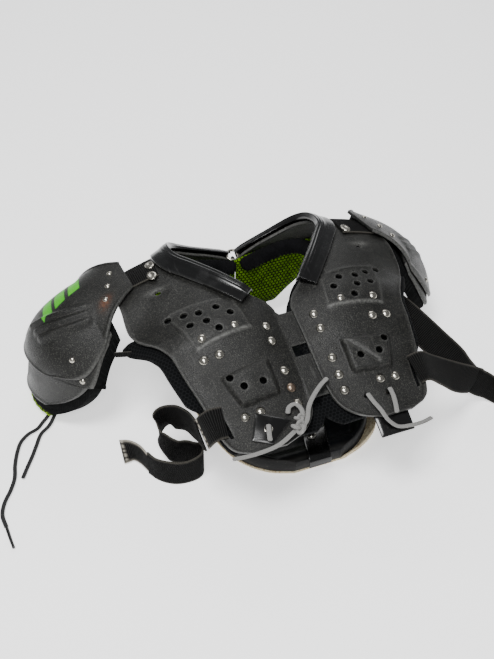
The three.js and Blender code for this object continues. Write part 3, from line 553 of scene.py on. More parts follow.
def laceTube(name, points, wide, thick, material, slotName):  # oval section wide by thick
    path, length = evenly(points, 14 * len(points))
    ring = circleOf(16) * [wide / 2, thick / 2]
    obj = sweep(name + "_braid", path, ring[None] * roundEnds(length, len(path), 1.4)[:, None, None])
    finished(obj, material, slotName, name)
    return obj, path, length


for name, points in lacePoints.items():
    black = name.startswith("shoelace")
    laceTube(name, points, *((shoelaceWidth, 2.8, blackLace, "webbing") if black else
                                           (laceWidth, 2.2, greyLace, "lace")))
tipPath, _ = evenly(tipPoints, 12)
tip = sweep("shoelace_aglet", tipPath, circleOf(16)[None] * 1.9 * np.linspace(1, 0.8, 12)[:, None, None])
finished(tip, gloss, "gloss", "shoelace_tip")
print("laces done")


# Arched plates
plate = {"rows": 280, "cols": 92, "hole": 4.0, "slotHalf": 15.5, "slotRadius": 2.5, "pocketRise": 6.0,
         "dimple": 0.7, "shoulderHollow": 1.5, "laceHoles": {-1: [], 1: [(46, 27.8), (70, 24.6)]}, "laceHole": 3.2,
         "ledge": 1.5, "field": 1.2, "fieldEdge": 0.7, "fold": 1.6, "lip": 0.9}
fieldEdges = [((108, -8), (121, 38)), ((121, 48), (64, 42)), ((46, -1), (52, 36))]
shoulderVent = 8
ventHoles = np.array([[0.752, 0.41], [0.653, 0.399], [0.56, 0.388], [0.44, 0.39], [0.368, 0.362],
                      [0.643, 0.36], [0.536, 0.356], [0.479, 0.326], [0.737, 0.508],
                      [0.535, 0.19], [0.467, 0.162], [0.338, 0.163]]) * [plateReach, archLength]
pocketCorners = np.array([[0.245, 0.125], [0.52, 0.112], [0.594, 0.2], [0.25, 0.22]]) * [plateReach, archLength]
slotPlace = np.array([0.652 * plateReach, 0.09 * archLength])
slotWay = np.array([math.cos(math.radians(83)), math.sin(math.radians(83))])


def fromLine(x, y, a, b):  # distance from the segment a to b, and the share along it
    a, b = np.asarray(a, float), np.asarray(b, float)
    e = b - a
    t = np.clip(((x - a[0]) * e[0] + (y - a[1]) * e[1]) / (e @ e), 0, 1)
    return np.hypot(x - a[0] - t * e[0], y - a[1] - t * e[1]), t


def pocketShare(x, run):  # product of a smoothstep from each side line of the pocket
    inside = 1.0
    for i in range(4):
        a, b = pocketCorners[i], pocketCorners[(i + 1) % 4]
        e = b - a
        side = (e[0] * (run * archLength - a[1]) - e[1] * (np.abs(x) - a[0])) / np.hypot(*e)
        inside = inside * smooth(side, -0.5, 4.5)
    return inside


def archPlate(side, tag):
    run, v = gridOf(plate["rows"], plate["cols"])
    inner, outer = column(plateEdges, 1, run) * plateReach, column(plateEdges, 2, run) * plateReach
    x = inner + (outer - inner) * v
    y = run * archLength + 0 * x
    run = run + 0 * x
    edge = np.minimum(np.minimum(v, 1 - v) * (outer - inner), np.minimum(run, 1 - run) * archLength)
    drop = np.zeros_like(x)
    # the pale mark: lines along the rims, hole edges, ridges and the pocket's crest, partly scuffs and partly a
    # painted edge highlight
    wearAndEdgeHighlight = 0.4 * bell(edge, 1.1) + 0 * x
    cut = np.full(x.shape, 1e9)
    for k, (hx, hy) in enumerate(ventHoles):
        d = np.hypot(x - hx, y - hy)
        cut = np.minimum(cut, d - plate["hole"])
        drop += plate["dimple"] * bell(d, 7.5)
        wearAndEdgeHighlight = np.maximum(wearAndEdgeHighlight, 0.35 * bell(d - plate["hole"] - 0.6, 0.7))
        if k == shoulderVent:
            drop += plate["shoulderHollow"] * bell(d, 10)
            wearAndEdgeHighlight = np.maximum(wearAndEdgeHighlight, 0.6 * bell(x - hx - 2, 11) * bell(y - hy - 3, 4))
    for hx, hy in plate["laceHoles"][side]:
        cut = np.minimum(cut, np.hypot(x - hx, y - hy) - plate["laceHole"])
    # the strap's slot
    half = plate["slotHalf"]
    d, _ = fromLine(x, y, slotPlace - slotWay * half, slotPlace + slotWay * half)
    cut = np.minimum(cut, d - plate["slotRadius"])
    wearAndEdgeHighlight = np.maximum(wearAndEdgeHighlight, 0.3 * bell(d - plate["slotRadius"], 0.9))
    # the vented field: the ledge at its foot, its rise and its other edges, placed on the plate seen from the front
    px, py, _ = np.moveaxis(skin(x, run), -1, 0)
    d, t = fromLine(px, py, (107, -8), (46, -1))
    drop -= plate["ledge"] * bell(d, 2.6) * smooth(t, 0, 0.1) * (1 - smooth(t, 0.92, 1))
    wearAndEdgeHighlight = np.maximum(wearAndEdgeHighlight, 0.7 * bell(d - 0.4, 1.6))
    drop -= plate["field"] * smooth(py, -7, 5) * smooth(px, 42, 52) * (1 - smooth(py, 15, 32))
    for a, b in fieldEdges:
        d, _ = fromLine(px, py, a, b)
        drop -= plate["fieldEdge"] * bell(d, 1.8)
        wearAndEdgeHighlight = np.maximum(wearAndEdgeHighlight, 0.22 * bell(d, 1.1))
    if side > 0:  # a fold across the right pocket
        d, _ = fromLine(px, py, (46.5, -42.7), (71.9, -70))
        drop += plate["fold"] * bell(d, 2.2)
        wearAndEdgeHighlight = np.maximum(wearAndEdgeHighlight, 0.4 * bell(d - 1.8, 0.9))
    rise = pocketShare(x, run)
    drop -= plate["pocketRise"] * rise
    drop += 0.35 * np.sin(x / 17 + 0.4 * side) * np.sin(y / 23) + 0.2 * np.sin(x / 7 + y / 11)  # slight waves
    drop -= plate["lip"] * bell(edge - 1.0, 1.6)
    wearAndEdgeHighlight = np.maximum(wearAndEdgeHighlight, 0.88 * rise * (1 - rise) * (rise > 0.6))
    # open the holes: quads inside go, and the corners left around them move on to the rim
    n, m = x.shape
    grid = quads(n, m)
    middle = (cut.ravel()[grid]).mean(1)
    kept = grid[middle > 0]
    rim = np.zeros(n * m, bool)
    rim[np.intersect1d(grid[middle <= 0], kept)] = True
    rim = rim.reshape(n, m)
    for hx, hy in ventHoles:
        d = np.hypot(x - hx, y - hy)
        near = rim & (d < plate["hole"] + 2)
        out = np.where(near, plate["hole"] / np.maximum(d, 0.1), 1)
        x, y = hx + (x - hx) * out, hy + (y - hy) * out
    run = y / archLength
    top = skin(side * x, run, drop)
    under = skin(side * x, run, drop + plateWall)
    obj = shell("plate_" + tag, top, under, np.stack([x, y], -1), {"wearAndEdgeHighlight": wearAndEdgeHighlight}, kept)
    finished(obj, plateFinish, "plate", "arch_plate_" + tag, edge=0.5)


for tag, side in halves.items():
    archPlate(side, tag)
print("plates done")


def runFor(x, y):  # run whose skin point at x lies at y, by three secant steps
    run = runAt(y)
    for _ in range(4):
        run = run + (y - skin(x, run)[..., 1]) / (archLength * 0.98)
    return run


domeProfile = np.array([[0, 2.55], [0.8, 2.5], [1.7, 2.3], [2.6, 1.95], [3.5, 1.35], [4.3, 0.65],
                        [4.75, 0.0], [4.75, -0.8], [0, -0.8]])
flatProfile = np.array([[0, 0.9], [2.6, 0.9], [3.4, 1.2], [5.2, 1.1], [6.0, 0.6], [6.2, 0], [6.2, -0.6], [0, -0.6]])
eyeletProfile = np.array([[3.0, -1.0], [2.7, 0.3], [3.2, 1.1], [4.3, 1.2], [5.4, 0.6], [5.6, -0.2], [5.6, -1.0],
                          [3.0, -1.0]])


def turned(centre, normal, profile, scale=1.0, stretch=1.0, sides=28):  # profile (radius, height) turned about normal
    normal = unit(normal)
    a = unit(np.cross(normal, [0.0, 1.0, 0.1]))
    way = circleOf(sides) * [1, stretch] @ np.stack([a, np.cross(normal, a)])
    r, h = profile[:, 0] * scale, profile[:, 1] * scale
    points = centre + r[:, None, None] * way[None] + h[:, None, None] * normal
    return points.reshape(-1, 3), quads(len(profile), sides, around=True)


def many(name, items, material, slotName, *nodes):  # joined turned forms, each closed at its poles
    bases = np.cumsum([0] + [len(p) for p, _ in items])
    faces = np.concatenate([outward(p, f) + base for (p, f), base in zip(items, bases)])
    obj = makeObject(name, np.concatenate([p for p, _ in items]), faces.tolist())
    weld = obj.modifiers.new("weld", "WELD")
    weld.merge_threshold = 0.00002
    return finished(obj, material, slotName, *nodes)


rivetSpots = [(27.5, -1.5), (28, -19), (27.3, -52.7), (27.2, -71), (26.5, -87.6), (68, -87.5), (85.5, -88.7),
              (62, 4), (100, 1), (88.5, -22.3), (105.9, -22)]
bright, rusted = [], []
for tag, side in halves.items():
    for k, (x, y) in enumerate(rivetSpots):
        run = runFor(x, y)
        lift = -plate["pocketRise"] * pocketShare(np.array(x), run)
        item = turned(skin(side * x, run, lift + 0.2), skinNormal(side * x, run), domeProfile, 1.1)
        (rusted if (k == 3 and side < 0) else bright).append(item)
many("plate_rivets", bright, steel, "steel")
many("rusted_rivet", rusted, rustySteel, "steel")
print("rivets done")

# Neck collars: a ribbed strip over the neck edge
collarSize = {"width": 24, "wall": 3, "stand": 8, "inset": 3, "rib": 0.3, "ribs": (0.32, 0.46, 0.6), "rows": 130,
              "cols": 64}
collarSection = np.array([[0.0, 0.35], [0.12, 1.0], [0.35, 0.8], [0.6, 0.45], [1.0, 0.1]])


def collar(side, tag):
    edge = np.stack([neckEdge[:, 0] * plateReach, neckEdge[:, 1] * archLength], 1)
    line, _ = evenly(edge, collarSize["rows"])
    way = unit(np.gradient(line, axis=0))
    s, v = gridOf(len(line), collarSize["cols"], (0, len(line) - 1))
    out, up = (np.interp(v * 4, np.arange(5), values) for values in collarSection.T)
    out, up = out * collarSize["width"] - collarSize["inset"], up * collarSize["stand"]
    ribs = sum(collarSize["rib"] * bell(v - c, 0.045) for c in collarSize["ribs"])
    up = up + ribs
    faded = smooth(s, 0, 6) * smooth(len(line) - 1 - s, 0, 6)
    up = up * (0.85 + 0.15 * faded)
    x = line[:, :1] + way[:, 1:] * out
    run = (line[:, 1:] - way[:, :1] * out) / archLength
    wall = collarSize["wall"]
    outer, inner = skin(side * x, run, -clearance - up - wall), skin(side * x, run, -clearance - up + ribs)
    length = np.linspace(0, 230, len(line))[:, None] + 0 * out
    # the pale line on the flange's outer edge is partly rubbing, partly a painted edge highlight
    obj = shell("collar_" + tag, outer, inner, np.stack([length, out + 0 * length], -1),
                {"wearAndEdgeHighlight": 0.25 * bell(1 - v, 0.03) + 0 * length})
    finished(obj, gloss, "gloss", "neck_collar_" + tag, edge=0.6, angle=72)


# Neck rolls: a padded tube gathered into fine cross pleats
roll = {"radius": 9.5, "rows": 330, "sides": 34, "pleat": 5.2, "pleatDepth": 0.085}


def neckRoll(side, tag):
    points = np.stack([side * rollPath[:, 0] * plateReach, hemY + rollPath[:, 1] * padDepth,
                       rollPath[:, 2] * padHeight], 1)
    path, length = evenly(points, roll["rows"])
    s, a = gridOf(roll["rows"], roll["sides"], (0, length), (0, 2 * np.pi * (1 - 1 / roll["sides"])))
    wander = 1.6 * np.sin(s / 23 + side) + 1.1 * np.sin(a * 2 + s / 11) + 0.7 * np.sin(a * 3 - s / 7)
    pleats = np.abs(np.cos(np.pi * (s + wander) / roll["pleat"])) ** 3
    radius = roll["radius"] * (1.0 - roll["pleatDepth"] * pleats + 0.03 * np.sin(s / 13 + 1) * np.sin(a + 0.5))
    radius = radius * roundEnds(length, roll["rows"], 8)[:, None]
    ring = np.stack([np.cos(a) * radius, np.sin(a) * radius], -1)
    obj = sweep("roll_" + tag, path, ring)
    finished(obj, rollCloth, "roll", "neck_roll_" + tag, fill=0.8)


for tag, side in halves.items():
    collar(side, tag)
    neckRoll(side, tag)
print("collars and rolls done")

# Body padding under the plates, in net
bandWall = 2.4
bodyPads = {
    "chest_padding": {"node": "front_pad", "start": 0.02, "stop": 0.432, "sink": bandWall + softClearance,
                      "thick": 14, "past": {"l": 12, "r": 8}, "inset": 4, "bulge": 3.0, "finish": (blackNet, "mesh")},
    "back_padding": {"node": "back_pad", "start": 0.79, "stop": 0.985, "sink": 0, "thick": 11,
                     "past": {"l": 3, "r": 3}, "inset": 8.4, "bulge": 0.5, "finish": (limeNet, "lime")}}


def bodyPad(name, side, tag, pad):  # swells from its edges, and stands out where it passes the plate's rim
    u, v = gridOf(90, 44)
    run = pad["start"] + (pad["stop"] - pad["start"]) * u
    edge = np.minimum(np.minimum(u, 1 - u), np.minimum(v, 1 - v))
    swell = 0.35 + 0.65 * np.sqrt(smooth(edge, 0, 0.25))
    past = pad["past"][tag] * smooth(run, 0.12, 0.17)
    lip = 13 * (1 - smooth(run, 0.05, 0.13)) * (pad["bulge"] > 1)
    inner = column(plateEdges, 1, run) * plateReach - pad["inset"] - lip
    rim = column(plateEdges, 2, run) * plateReach
    x = inner + (rim + past - inner) * v
    free = smooth(x - rim, -2, 5) * (1 - smooth(v, 0.93, 1.0) * 0.6)
    quilt = 0.5 * np.sin(x / 9) * np.sin(run * archLength / 12)
    depth = plateWall + softClearance + pad["sink"] + 0 * x
    outer = skin(side * x, run, depth - pad["bulge"] * free + 0.4 * quilt * free)
    inside = skin(side * x, run, depth + pad["thick"] * swell)
    obj = shell(name + "_" + tag, outer, inside, np.stack([x, run * archLength + 0 * x], -1))
    finished(obj, *pad["finish"], pad["node"] + "_" + tag, edge=2.0, angle=40, fill=0.7)


for tag, side in halves.items():
    for name, pad in bodyPads.items():
        bodyPad(name, side, tag, pad)


# Breast bands across both plates, flat between them
def breastBand(node, start, stop):
    u, v = gridOf(70, 40)
    x = -34 + 68 * u + 0 * v
    run = start + (stop - start) * v + 0 * x
    close = 0.055 * plateReach

    def face(extra):
        p = skin(np.maximum(np.abs(x), close), run, plateWall + softClearance + extra)
        p[..., 0] = x
        return p

    near = np.minimum(v, 1 - v) * (stop - start) * archLength
    uv = np.stack([x, run * archLength], -1)
    # pale lines along the band's edges: partly scuffs, partly a painted edge highlight
    obj = shell(node + "_strip", face(-0.5 * bell(near - 2, 1.5) * (np.abs(x) < 12)), face(bandWall), uv,
                {"wearAndEdgeHighlight": 0.45 * bell(near, 0.9) + 0 * x})
    finished(obj, plateFinish, "plate", node, edge=0.5)


breastBand("breast_band_upper", 0.243, 0.347)
breastBand("breast_band_lower", 0.1, 0.212)

# Webbing from each plate to its cap
for tag, side in halves.items():
    u, v = gridOf(60, 40, (0.685, 0.935))
    x = u * plateReach + 0 * v
    run = 0.56 + v * 40 / archLength + 0 * x
    wave = 0.35 * np.sin(x / 6) * np.sin(v * 5)
    low = -softClearance - clearance
    over, under = skin(side * x, run, low - 2.0 - 0.5 * wave), skin(side * x, run, low)
    obj = shell("cap_strap_" + tag, over, under, np.stack([x, v * 40 + 0 * x], -1),
                {"wearAndEdgeHighlight": 0.15 * bell(np.minimum(v, 1 - v), 0.02)})
    finished(obj, webbing, "webbing", "cap_webbing_" + tag, edge=0.5)
print("body done")

# Shoulder caps, the flap under each and the pad under that
capHalfWidth, capSweep, tierSpread, capArc = 70, 86, 25, 155
capHinge = np.array([146, 128, 153])
capShapes = {"l": {"out": 128, "down": 80, "front": 38, "rear": 50, "flare": -1.5, "turn": -3.5,
                   "flapTo": 1.4, "padTo": 1.56},
             "r": {"out": 138, "down": 80, "front": 32, "rear": 48, "flare": -24, "turn": 13,
                   "flapTo": 1.06, "padTo": 1.1}}


def capSkin(tag, side, along, across, depth, halfShare):
    # ellipse of out by down along the sweep, falling crown * (across * halfShare)^2 + depth inside it
    shape = capShapes[tag]
    swept = math.radians(capSweep) * along
    angle = np.minimum(swept, math.pi / 2)
    n = np.stack([np.sin(angle) / shape["out"], np.cos(angle) / shape["down"]])
    n = n / np.hypot(*n)
    crown = np.where(across < 0, shape["front"], shape["rear"]) * np.clip(along / 0.3, 0, 1)
    fall = crown * (across * halfShare) ** 2 + depth
    x = shape["out"] * np.sin(angle) - n[0] * fall + tierSpread * np.maximum(0, along - 1)
    y = across * halfShare * capHalfWidth + 0 * x
    z = -shape["down"] * (1 - np.cos(angle)) - n[1] * fall - (swept - angle) * shape["down"]
    f, t = -math.radians(shape["flare"]), math.radians(shape["turn"])
    x, z = x * math.cos(f) + z * math.sin(f), -x * math.sin(f) + z * math.cos(f)
    x, y = x * math.cos(t) - y * math.sin(t), x * math.sin(t) + y * math.cos(t)
    return np.stack([side * x, y, z], -1) + capHinge * [side, 1, 1]


capRidges = [(0.25, -0.43, 0.76, 0.19), (0.26, -0.54, 0.74, -0.03), (0.28, -0.64, 0.74, -0.2)]
ridgeRise = {-1: 4.2, 1: 1.5}


def capLayer(name, tag, side, plan, start, stop, depth, wall, detail, rows=104, cols=84):
    u, v = gridOf(rows, cols, across=(-1, 1))
    along = start + (stop - start) * u + 0 * v
    share = column(plan, 1, u) + 0 * v
    lift, marks = detail(along, v + 0 * along, u + 0 * v)
    outer = capSkin(tag, side, along, v, depth - lift, share)
    inner = capSkin(tag, side, along, v, depth + wall, share)
    uv = np.stack([along * capArc, v * share * capHalfWidth], -1)
    return shell(name + "_" + tag, outer, inner, uv, marks)


def capDetail(side):
    def detail(along, across, u):
        lift = np.zeros_like(along)
        for a0, c0, a1, c1 in capRidges:
            d, t = fromLine(along * capArc, across * capHalfWidth, (a0 * capArc, c0 * capHalfWidth),
                            (a1 * capArc, c1 * capHalfWidth))
            lift += ridgeRise[side] * bell(d, 3.6) * smooth(t, 0, 0.12) * (1 - smooth(t, 0.9, 1))
        edge = np.minimum((1 - np.abs(across)) * 62, (1 - along) * 150)
        lift += 1.1 * bell(edge - 2.4, 2.2) + 0.4 * np.sin(along * 9) * np.sin(across * 4 + side)
        rust = 0.55 * bell(np.hypot((along - 0.185) * capArc, (across + 0.62) * 50), 6) * (side < 0)
        # pale rim: partly scuffs, partly a painted edge highlight; the rust is a real stain
        return lift, {"wearAndEdgeHighlight": 0.55 * bell(edge, 1.0), "rust": rust}
    return detail


def tierDetail(along, across, u):
    edge = np.minimum((1 - np.abs(across)) * 70, (1 - u) * 160)
    # pale rim: partly scuffs, partly a painted edge highlight
    return 0.9 * bell(edge - 2.2, 2.0), {"wearAndEdgeHighlight": 0.55 * bell(edge, 0.9)}


def padDetail(side):
    def detail(along, across, u):
        trims = {"l": {"trim": smooth(u, 0.972, 0.99)},
                 "r": {"underTrim": smooth(-across, 0.9, 0.97) * bell(u - 0.5, 0.3)}}
        return 0.5 * np.sin(along * 60) * np.sin(across * 22), trims["l" if side < 0 else "r"]
    return detail


capWall, tierGap, capPadThickness = 3.2, 2.2, 13
for tag, side in halves.items():
    shape = capShapes[tag]
    cap = capLayer("cap", tag, side, capPlan, 0, 1, 0, capWall, capDetail(side))
    finished(cap, barredFinish if side < 0 else capFinish, "plate", "shoulder_cap_" + tag, edge=0.6)
    under = capWall + tierGap
    flap = capLayer("flap", tag, side, tierPlan, 0.24, shape["flapTo"], under, capWall, tierDetail)
    finished(flap, capFinish, "plate", "cap_flap_" + tag, edge=0.6)
    pad = capLayer("cap_padding", tag, side, tierPlan, 0.2, shape["padTo"], under + capWall + tierGap,
                   capPadThickness, padDetail(side), 120, 110)
    finished(pad, padCloth[tag], "mesh", "cap_pad_" + tag, edge=3.0, angle=40, fill=0.6)
print("caps done")

# Lower back pad: coated lining with a thick rounded rim, and its foam
lowerPadHalfWidth, lowerPadLength, lowerPadRise, foamWall = 98, 312, 46, 3
lowerPadLine, _ = evenly(np.stack([lowerPadPath[:, 0] * lowerPadLength, lowerPadPath[:, 1] * lowerPadRise], 1), 2001)
lowerPadShare = np.linspace(0, 1, 2001)
lowerPadWay = unit(np.gradient(lowerPadLine, axis=0))


def lowerPad(along, across, height, spread=0.0):  # the pad's line, height up its normal, across * its half width
    along, across, height = np.broadcast_arrays(along, across, height)
    p = [np.interp(along, lowerPadShare, lowerPadLine[:, k]) for k in (0, 1)]
    t = [np.interp(along, lowerPadShare, lowerPadWay[:, k]) for k in (0, 1)]
    half = column(lowerPadPlan, 1, along) * lowerPadHalfWidth
    return np.stack([across * (half + spread), p[0] - t[1] * height, p[1] + t[0] * height], -1)


along, across = gridOf(130, 90, across=(-1, 1))
edge = np.minimum((1 - np.abs(across)) * 88, along * 312)
rim = 1 - smooth(edge, 10, 26)
roundOff = np.sqrt(np.clip(1 - (1 - np.minimum(edge / 9, 1)) ** 2, 0, 1))
crease = 1.3 * np.sin(along * 46 + across * 5) * np.sin(across * 11 - along * 9) * smooth(edge, 14, 60)
thick = 9 + 9 * rim * (1 - smooth(along, 0.62, 0.74)) * (0.55 + 0.45 * roundOff) + 0.7 * crease
over = lowerPad(along, across, foamWall + thick + 0 * across)
below = lowerPad(along, across, foamWall + clearance + 0 * across)
uv = np.stack([across * 98 + 0 * along, along * 312 + 0 * across], -1)
body = shell("lower_back_cushion", over, below, uv, {"wearAndEdgeHighlight": 0.35 * bell(edge - 3, 3) * (along < 0.5)})
finished(body, lining, "lining", "lower_back_pad", edge=1.5, angle=40, fill=0.6)

along, across = gridOf(90, 44, (0, 0.72), (-1, 1))
bare = np.sin(math.pi * np.clip((along + 0.02) / 0.22, 0, 1))
far = np.linspace(0, 1, 10)[None]
outSkin = [lowerPad(along, across, foamWall + 0 * across, 1.0)]
inSkin = [lowerPad(along, across, 0 * across, 1.0)]
spread = 1 + clearance + far[:, 1:] * (2 * clearance + 11 * bare)
lump = 0.8 * np.sin(along * 90) * np.sin(far[:, 1:] * 5)
outSkin.append(lowerPad(along, 1.0, foamWall + (6 + lump) * bare * np.sqrt(far[:, 1:]), spread))
inSkin.append(lowerPad(along, 1.0, 0 * spread, spread))
outSkin, inSkin = np.concatenate(outSkin, 1), np.concatenate(inSkin, 1)
obj = shell("bare_foam", outSkin, inSkin, outSkin[..., :2])
finished(obj, foam, "foam", "lower_back_foam", fill=1.0)
print("lower back done")


# Lace plate and lace tab
def platePatch(name, node, side, corners, depth, wall):
    c = np.asarray(corners, float)
    u, v = gridOf(40, 40)
    near, far = c[0] + (c[1] - c[0]) * u[..., None], c[3] + (c[2] - c[3]) * u[..., None]
    at = near + (far - near) * v[..., None]
    edge = np.minimum(np.minimum(u, 1 - u), np.minimum(v, 1 - v))
    x, run = at[..., 0] * plateReach, at[..., 1]
    lift = 0.5 * smooth(edge, 0, 0.08) + 1.4 * (1 - (2 * u - 1) ** 2) * (1 - (2 * v - 1) ** 2)
    # pale rim: partly rubbing, partly a painted edge highlight
    obj = shell(name, skin(side * x, run, depth - lift + 0.5), skin(side * x, run, depth + wall), at * 100,
                {"wearAndEdgeHighlight": 0.5 * bell(edge, 0.012)})
    finished(obj, gloss, "gloss", node, edge=0.9)


platePatch("lace_plate", "lace_plate_l", -1, [(0.25, 0.055), (0.42, 0.008), (0.535, 0.03), (0.455, 0.095)],
           -clearance - 2.2, 2.2)
platePatch("lace_tab", "lace_tab_r", 1, [(0.28, 0.05), (0.27, -0.045), (0.5, -0.045), (0.52, 0.05)],
           plateWall + 2 * softClearance, 2.2)


# Bands: straps, elastics, hook tab, tie and tongue
def band(name, node, rows, width, material, wall=1.8, slotName="webbing", wave=0.0, frayed=0.0, rubbed=0.12):
    rows = np.asarray(rows, float)
    n = 12 * len(rows)
    t = np.linspace(0, 1, n)
    middle, spread = curveThrough(rows[:, :3], t), curveThrough(rows[:, 3:], t)
    way = unit(np.gradient(middle, axis=0))
    normal = unit(np.cross(way, spread))[:, None]
    length = lengthOf(middle)[:, None]
    v = np.linspace(-0.5, 0.5, 14)[None]
    ripple = wave * (np.sin(length / 5.5) * np.sin(v * 4) + 0.6 * np.sin(length / 13))[..., None]
    base = middle[:, None] + np.cross(normal, way[:, None]) * v[..., None] * width
    outer, inner = base + normal * (wall / 2 + ripple), base - normal * (wall / 2 - ripple)
    uv = np.stack(np.broadcast_arrays(length, v * width), -1)
    frays = frayed * bell(length - length[-1] + 3, 1.6) * (np.sin(v * 50) > -0.3)
    wearAndEdgeHighlight = rubbed * bell(0.5 - np.abs(v), 0.02 + 0.05 * rubbed) + frays
    obj = shell(name, outer, inner, uv, {"wearAndEdgeHighlight": np.clip(wearAndEdgeHighlight, 0, 1)})
    finished(obj, material, slotName, node, edge=0.4)


straps = {
    "side_webbing_l": [[-107.5, -89, 110.7, -0.13, 0.9, 0.42], [-118, -88, 110.4, -0.13, 0.9, 0.44],
                       [-126, -86, 104, -0.13, 0.9, 0.42], [-129, -80, 92, -0.1, 0.8, 0.55]],
    "side_elastic_l": [[-129.8, -76.2, 86.4, -0.1, 0.8, 0.6], [-128, -66, 78, -0.1, 0.55, 0.8],
                       [-128, -42, 67, -0.1, 0.25, 0.97], [-135, -16, 57, -0.1, 0.1, 0.99],
                       [-150, -4, 46, 0, 0, 1], [-157, -15, 36, 0, 0, 1], [-148, -32, 27, 0, 0, 1],
                       [-131, -36, 20, 0, 0, 1], [-119, -43, 17.5, 0, 0, 1], [-123, -55, 17.5, 0, 0, 1],
                       [-136, -60, 17.5, 0, 0, 1], [-152, -58, 17.5, 0, 0, 1], [-170, -45, 17.5, 0, 0, 1],
                       [-177, -32, 17.5, 0, 0, 1]],
    "hook_tab_l": [[-177.1, -31.6, 17.5, 0, 0, 1], [-182, -17, 17.3, 0, 0.1, 1],
                   [-189, -7, 16, -0.1, 0.25, 1], [-199, -3, 13.5, -0.2, 0.6, 0.8]],
    "side_webbing_r": [[107.5, -89, 110.8, 0.13, 0.9, 0.42], [120, -87, 110.3, 0.13, 0.9, 0.42],
                       [142, -82, 92, 0.1, 0.8, 0.5], [176, -74, 62, 0.1, 0.5, 0.85], [208, -67, 39, 0, 0, 1]],
    "shoulder_strap_r": [[146, 42, 98, 0.3, 0.9, 0.3], [162, 14, 82, 0.3, 0.7, 0.6],
                         [182, -14, 62, 0.2, 0.5, 0.85], [200, -38, 46, 0.1, 0.3, 0.95],
                         [208, -59, 39.5, 0, 0, 1]],
    "side_elastic_r": [[203, -66.4, 42.5, 0, 0.1, 1], [208.6, -66.8, 38.5, 0, 0, 1], [226, -70, 24, 0, 0, 1],
                       [238, -80, 18, 0, 0, 1], [256, -92, 17.5, 0, 0, 1], [276, -92, 17.5, 0, 0, 1],
                       [290, -78, 17.5, 0, 0, 1]],
}
strapLooks = {"hook_tab_l": {"width": 28, "frayed": 0.75, "rubbed": 0.8}, "side_webbing_l": {"frayed": 1.0}}
for node, rows in straps.items():
    looks = {"width": 34, "material": webbing, "wave": 0.15, **strapLooks.get(node, {})}
    if "elastic" in node:
        looks |= {"material": elastic, "wave": 0.3}
    band(node + "_band", node, rows, **looks)
band("cap_tie_band", "cap_tie_l", [[-183, 53, 106, 0, 0.3, 0.95], [-174, 47, 109, 0, 0.3, 0.95],
                                   [-166.6, 42, 111.5, 0, 0.3, 0.95]], 6, webbing)
band("tongue", "lower_tongue", [[18, -34, 15.5, 1, 0.35, 0], [13, -47, 17.5, 1, 0.35, 0], [8, -60, 23, 1, 0.3, 0],
                                [3, -76, 25.5, 1, 0.2, 0], [0, -90, 25, 1, 0.1, 0], [-1, -97, 20, 1, 0, 0],
                                [-1, -98, 12, 1, 0, 0]], 26, gloss, 2.2, "gloss")
print("straps done")

# Eyelets, cap rivets and the tongue's rivet
fittings = []
for side, x, y, profile, lift in ((-1, 68, -108, eyeletProfile, 2.7), (1, 72, -105, eyeletProfile, -4.5),
                                  (-1, 117, 0.615, flatProfile, 3.3), (-1, 120.5, 0.567, flatProfile, 3.3),
                                  (1, 119.5, 0.578, flatProfile, 3.3)):
    flat = profile is flatProfile
    run = y if flat else runFor(x, y)
    fittings.append(turned(skin(side * x, run, -lift), skinNormal(side * x, run), profile,
                           0.9 if flat else 1.0, 1.35 if flat else 1.0))


def onCap(tag, side, along, across, plan=capPlan, start=0.0, stop=1.0, depth=0.0):
    share = column(plan, 1, (along - start) / (stop - start))
    at = lambda a, c: capSkin(tag, side, np.array(a), np.array(c), np.array(depth), share)
    n = np.cross(at(along + 0.01, across) - at(along, across), at(along, across + 0.01) - at(along, across))
    n = n * (1 if n[2] > 0 or abs(n[2]) < 0.2 * np.linalg.norm(n) and n[0] * side > 0 else -1)
    return at(along, across), n


for tag, side, spots in (("l", -1, [(0.617, -0.78), (0.083, 0.3), (0.13, -0.233), (0.177, -0.56)]),
                         ("r", 1, [(0.56, -0.86), (0.083, 0.3), (0.13, -0.233), (0.177, -0.56)])):
    for along, across in spots:
        p, n = onCap(tag, side, along, across)
        fittings.append(turned(p, n, domeProfile, 0.72))
p, n = onCap("l", -1, 0.781, -0.9, tierPlan, 0.24, 1.4, 5.4)
fittings.append(turned(p, n, domeProfile, 0.72))
many("fittings", fittings, steel, "steel")
tongueRivet = turned(np.array([1.5, -67, 27.2]), np.array([0, -0.3, 1.0]), domeProfile, 1.15)
many("tongue_rivet", [tongueRivet], darkSteel, "steel")

# Ring at the nape with its cord
big, small, tilt = 7.4, 1.7, 0.35
section = circleOf(20)[None] * small
around = circleOf(64)[:, None]
ring = np.concatenate([(big + section[..., :1]) * around, section[..., 1:] + 0 * around[..., :1]], -1)
tilted = np.array([[1, 0, 0], [0, math.cos(tilt), math.sin(tilt)], [0, -math.sin(tilt), math.cos(tilt)]])
ring = (ring @ tilted + [0.2, 178, 104.5]).reshape(-1, 3)
ringFaces = outward(ring, quads(65, 20, around=True) % len(ring))
finished(makeObject("nape_hoop", ring, ringFaces.tolist()), steel, "steel", "nape_ring")


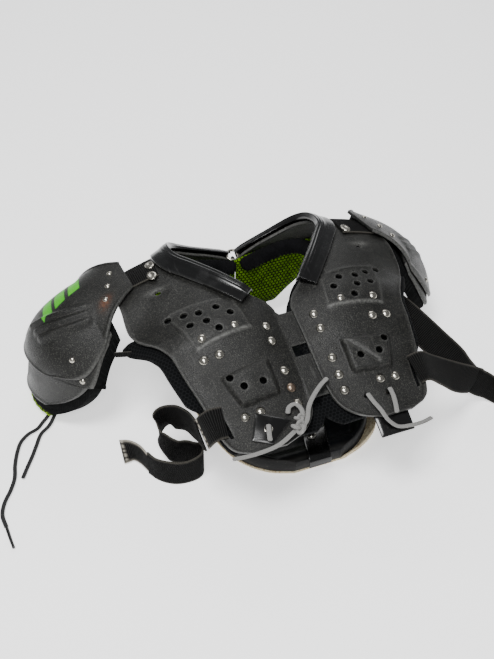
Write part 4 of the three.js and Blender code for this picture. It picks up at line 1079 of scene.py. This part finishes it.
def loopOf(name, centre, size, thick, wind, material, slotName):
    # closed cord of radius size about centre, wound like a trefoil when wind is 1
    t = np.linspace(0, 2 * np.pi, 120)
    path = np.stack([size * (np.sin(t) + 2 * wind * np.sin(2 * t)), size * (np.cos(t) - 2 * wind * np.cos(2 * t)),
                     -size * wind * np.sin(3 * t)], 1) / (1 + wind)
    if not wind:
        path = path[:, [2, 0, 1]]
    ring = circleOf(14)[None] * np.full((119, 1, 1), thick / 2)
    obj = sweep(name, path[:-1] + np.asarray(centre), ring, up=(0.05, 0.1, 1) if wind else (1, 0.02, 0.03))
    finished(obj, material, slotName)


loopOf("lace_knot", (-39, -120, 108.5), 4.6, 4.2, 1, greyLace, "lace")
loopOf("lace_knot_upper", (-35, -111, 110.5), 3.0, 3.4, 1, greyLace, "lace")
loopOf("nape_cord", (0.2, 175.5, 96.5), 5.2, 3.4, 0, blackLace, "webbing")

# Floor, backdrop light and lamps
floorSize = 6.0
floorMesh = bpy.data.meshes.new("floor")
floorMesh.from_pydata([(-floorSize, -floorSize, 0), (floorSize, -floorSize, 0), (floorSize, floorSize, 0),
                       (-floorSize, floorSize, 0)], [], [(0, 1, 2, 3)])
floor = bpy.data.objects.new("floor", floorMesh)
bpy.context.scene.collection.objects.link(floor)
floorFinish, _ = newFinish("floor", (0.9, 0.9, 0.9), 0.9, Emission_Color=(1.0, 1.0, 1.0), Emission_Strength=0.95)
floorMesh.materials.append(floorFinish)

world = bpy.data.worlds.new("studio")
world.use_nodes = True
world.node_tree.nodes["Background"].inputs[0].default_value = (0.95, 0.97, 1.0, 1)
world.node_tree.nodes["Background"].inputs[1].default_value = 0.28
bpy.context.scene.world = world


def lamp(name, at, size, power, toward=(0, 0, 0.1)):
    light = bpy.data.lights.new(name, "AREA")
    light.shape = "RECTANGLE"
    light.size, light.size_y = size
    light.energy = power
    obj = bpy.data.objects.new(name, light)
    bpy.context.scene.collection.objects.link(obj)
    obj.location = at
    way = np.asarray(toward, float) - np.asarray(at, float)
    flat = math.hypot(way[0], way[1])
    obj.rotation_euler = (math.atan2(flat, -way[2]), 0, math.atan2(way[1], way[0]) - math.pi / 2)


lamp("key", (-0.55, -0.35, 1.9), (0.7, 0.7), 44)
lamp("back", (0.5, 1.5, 1.3), (1.4, 0.8), 11)
lamp("front", (-0.5, -1.3, 1.5), (0.6, 0.6), 14)
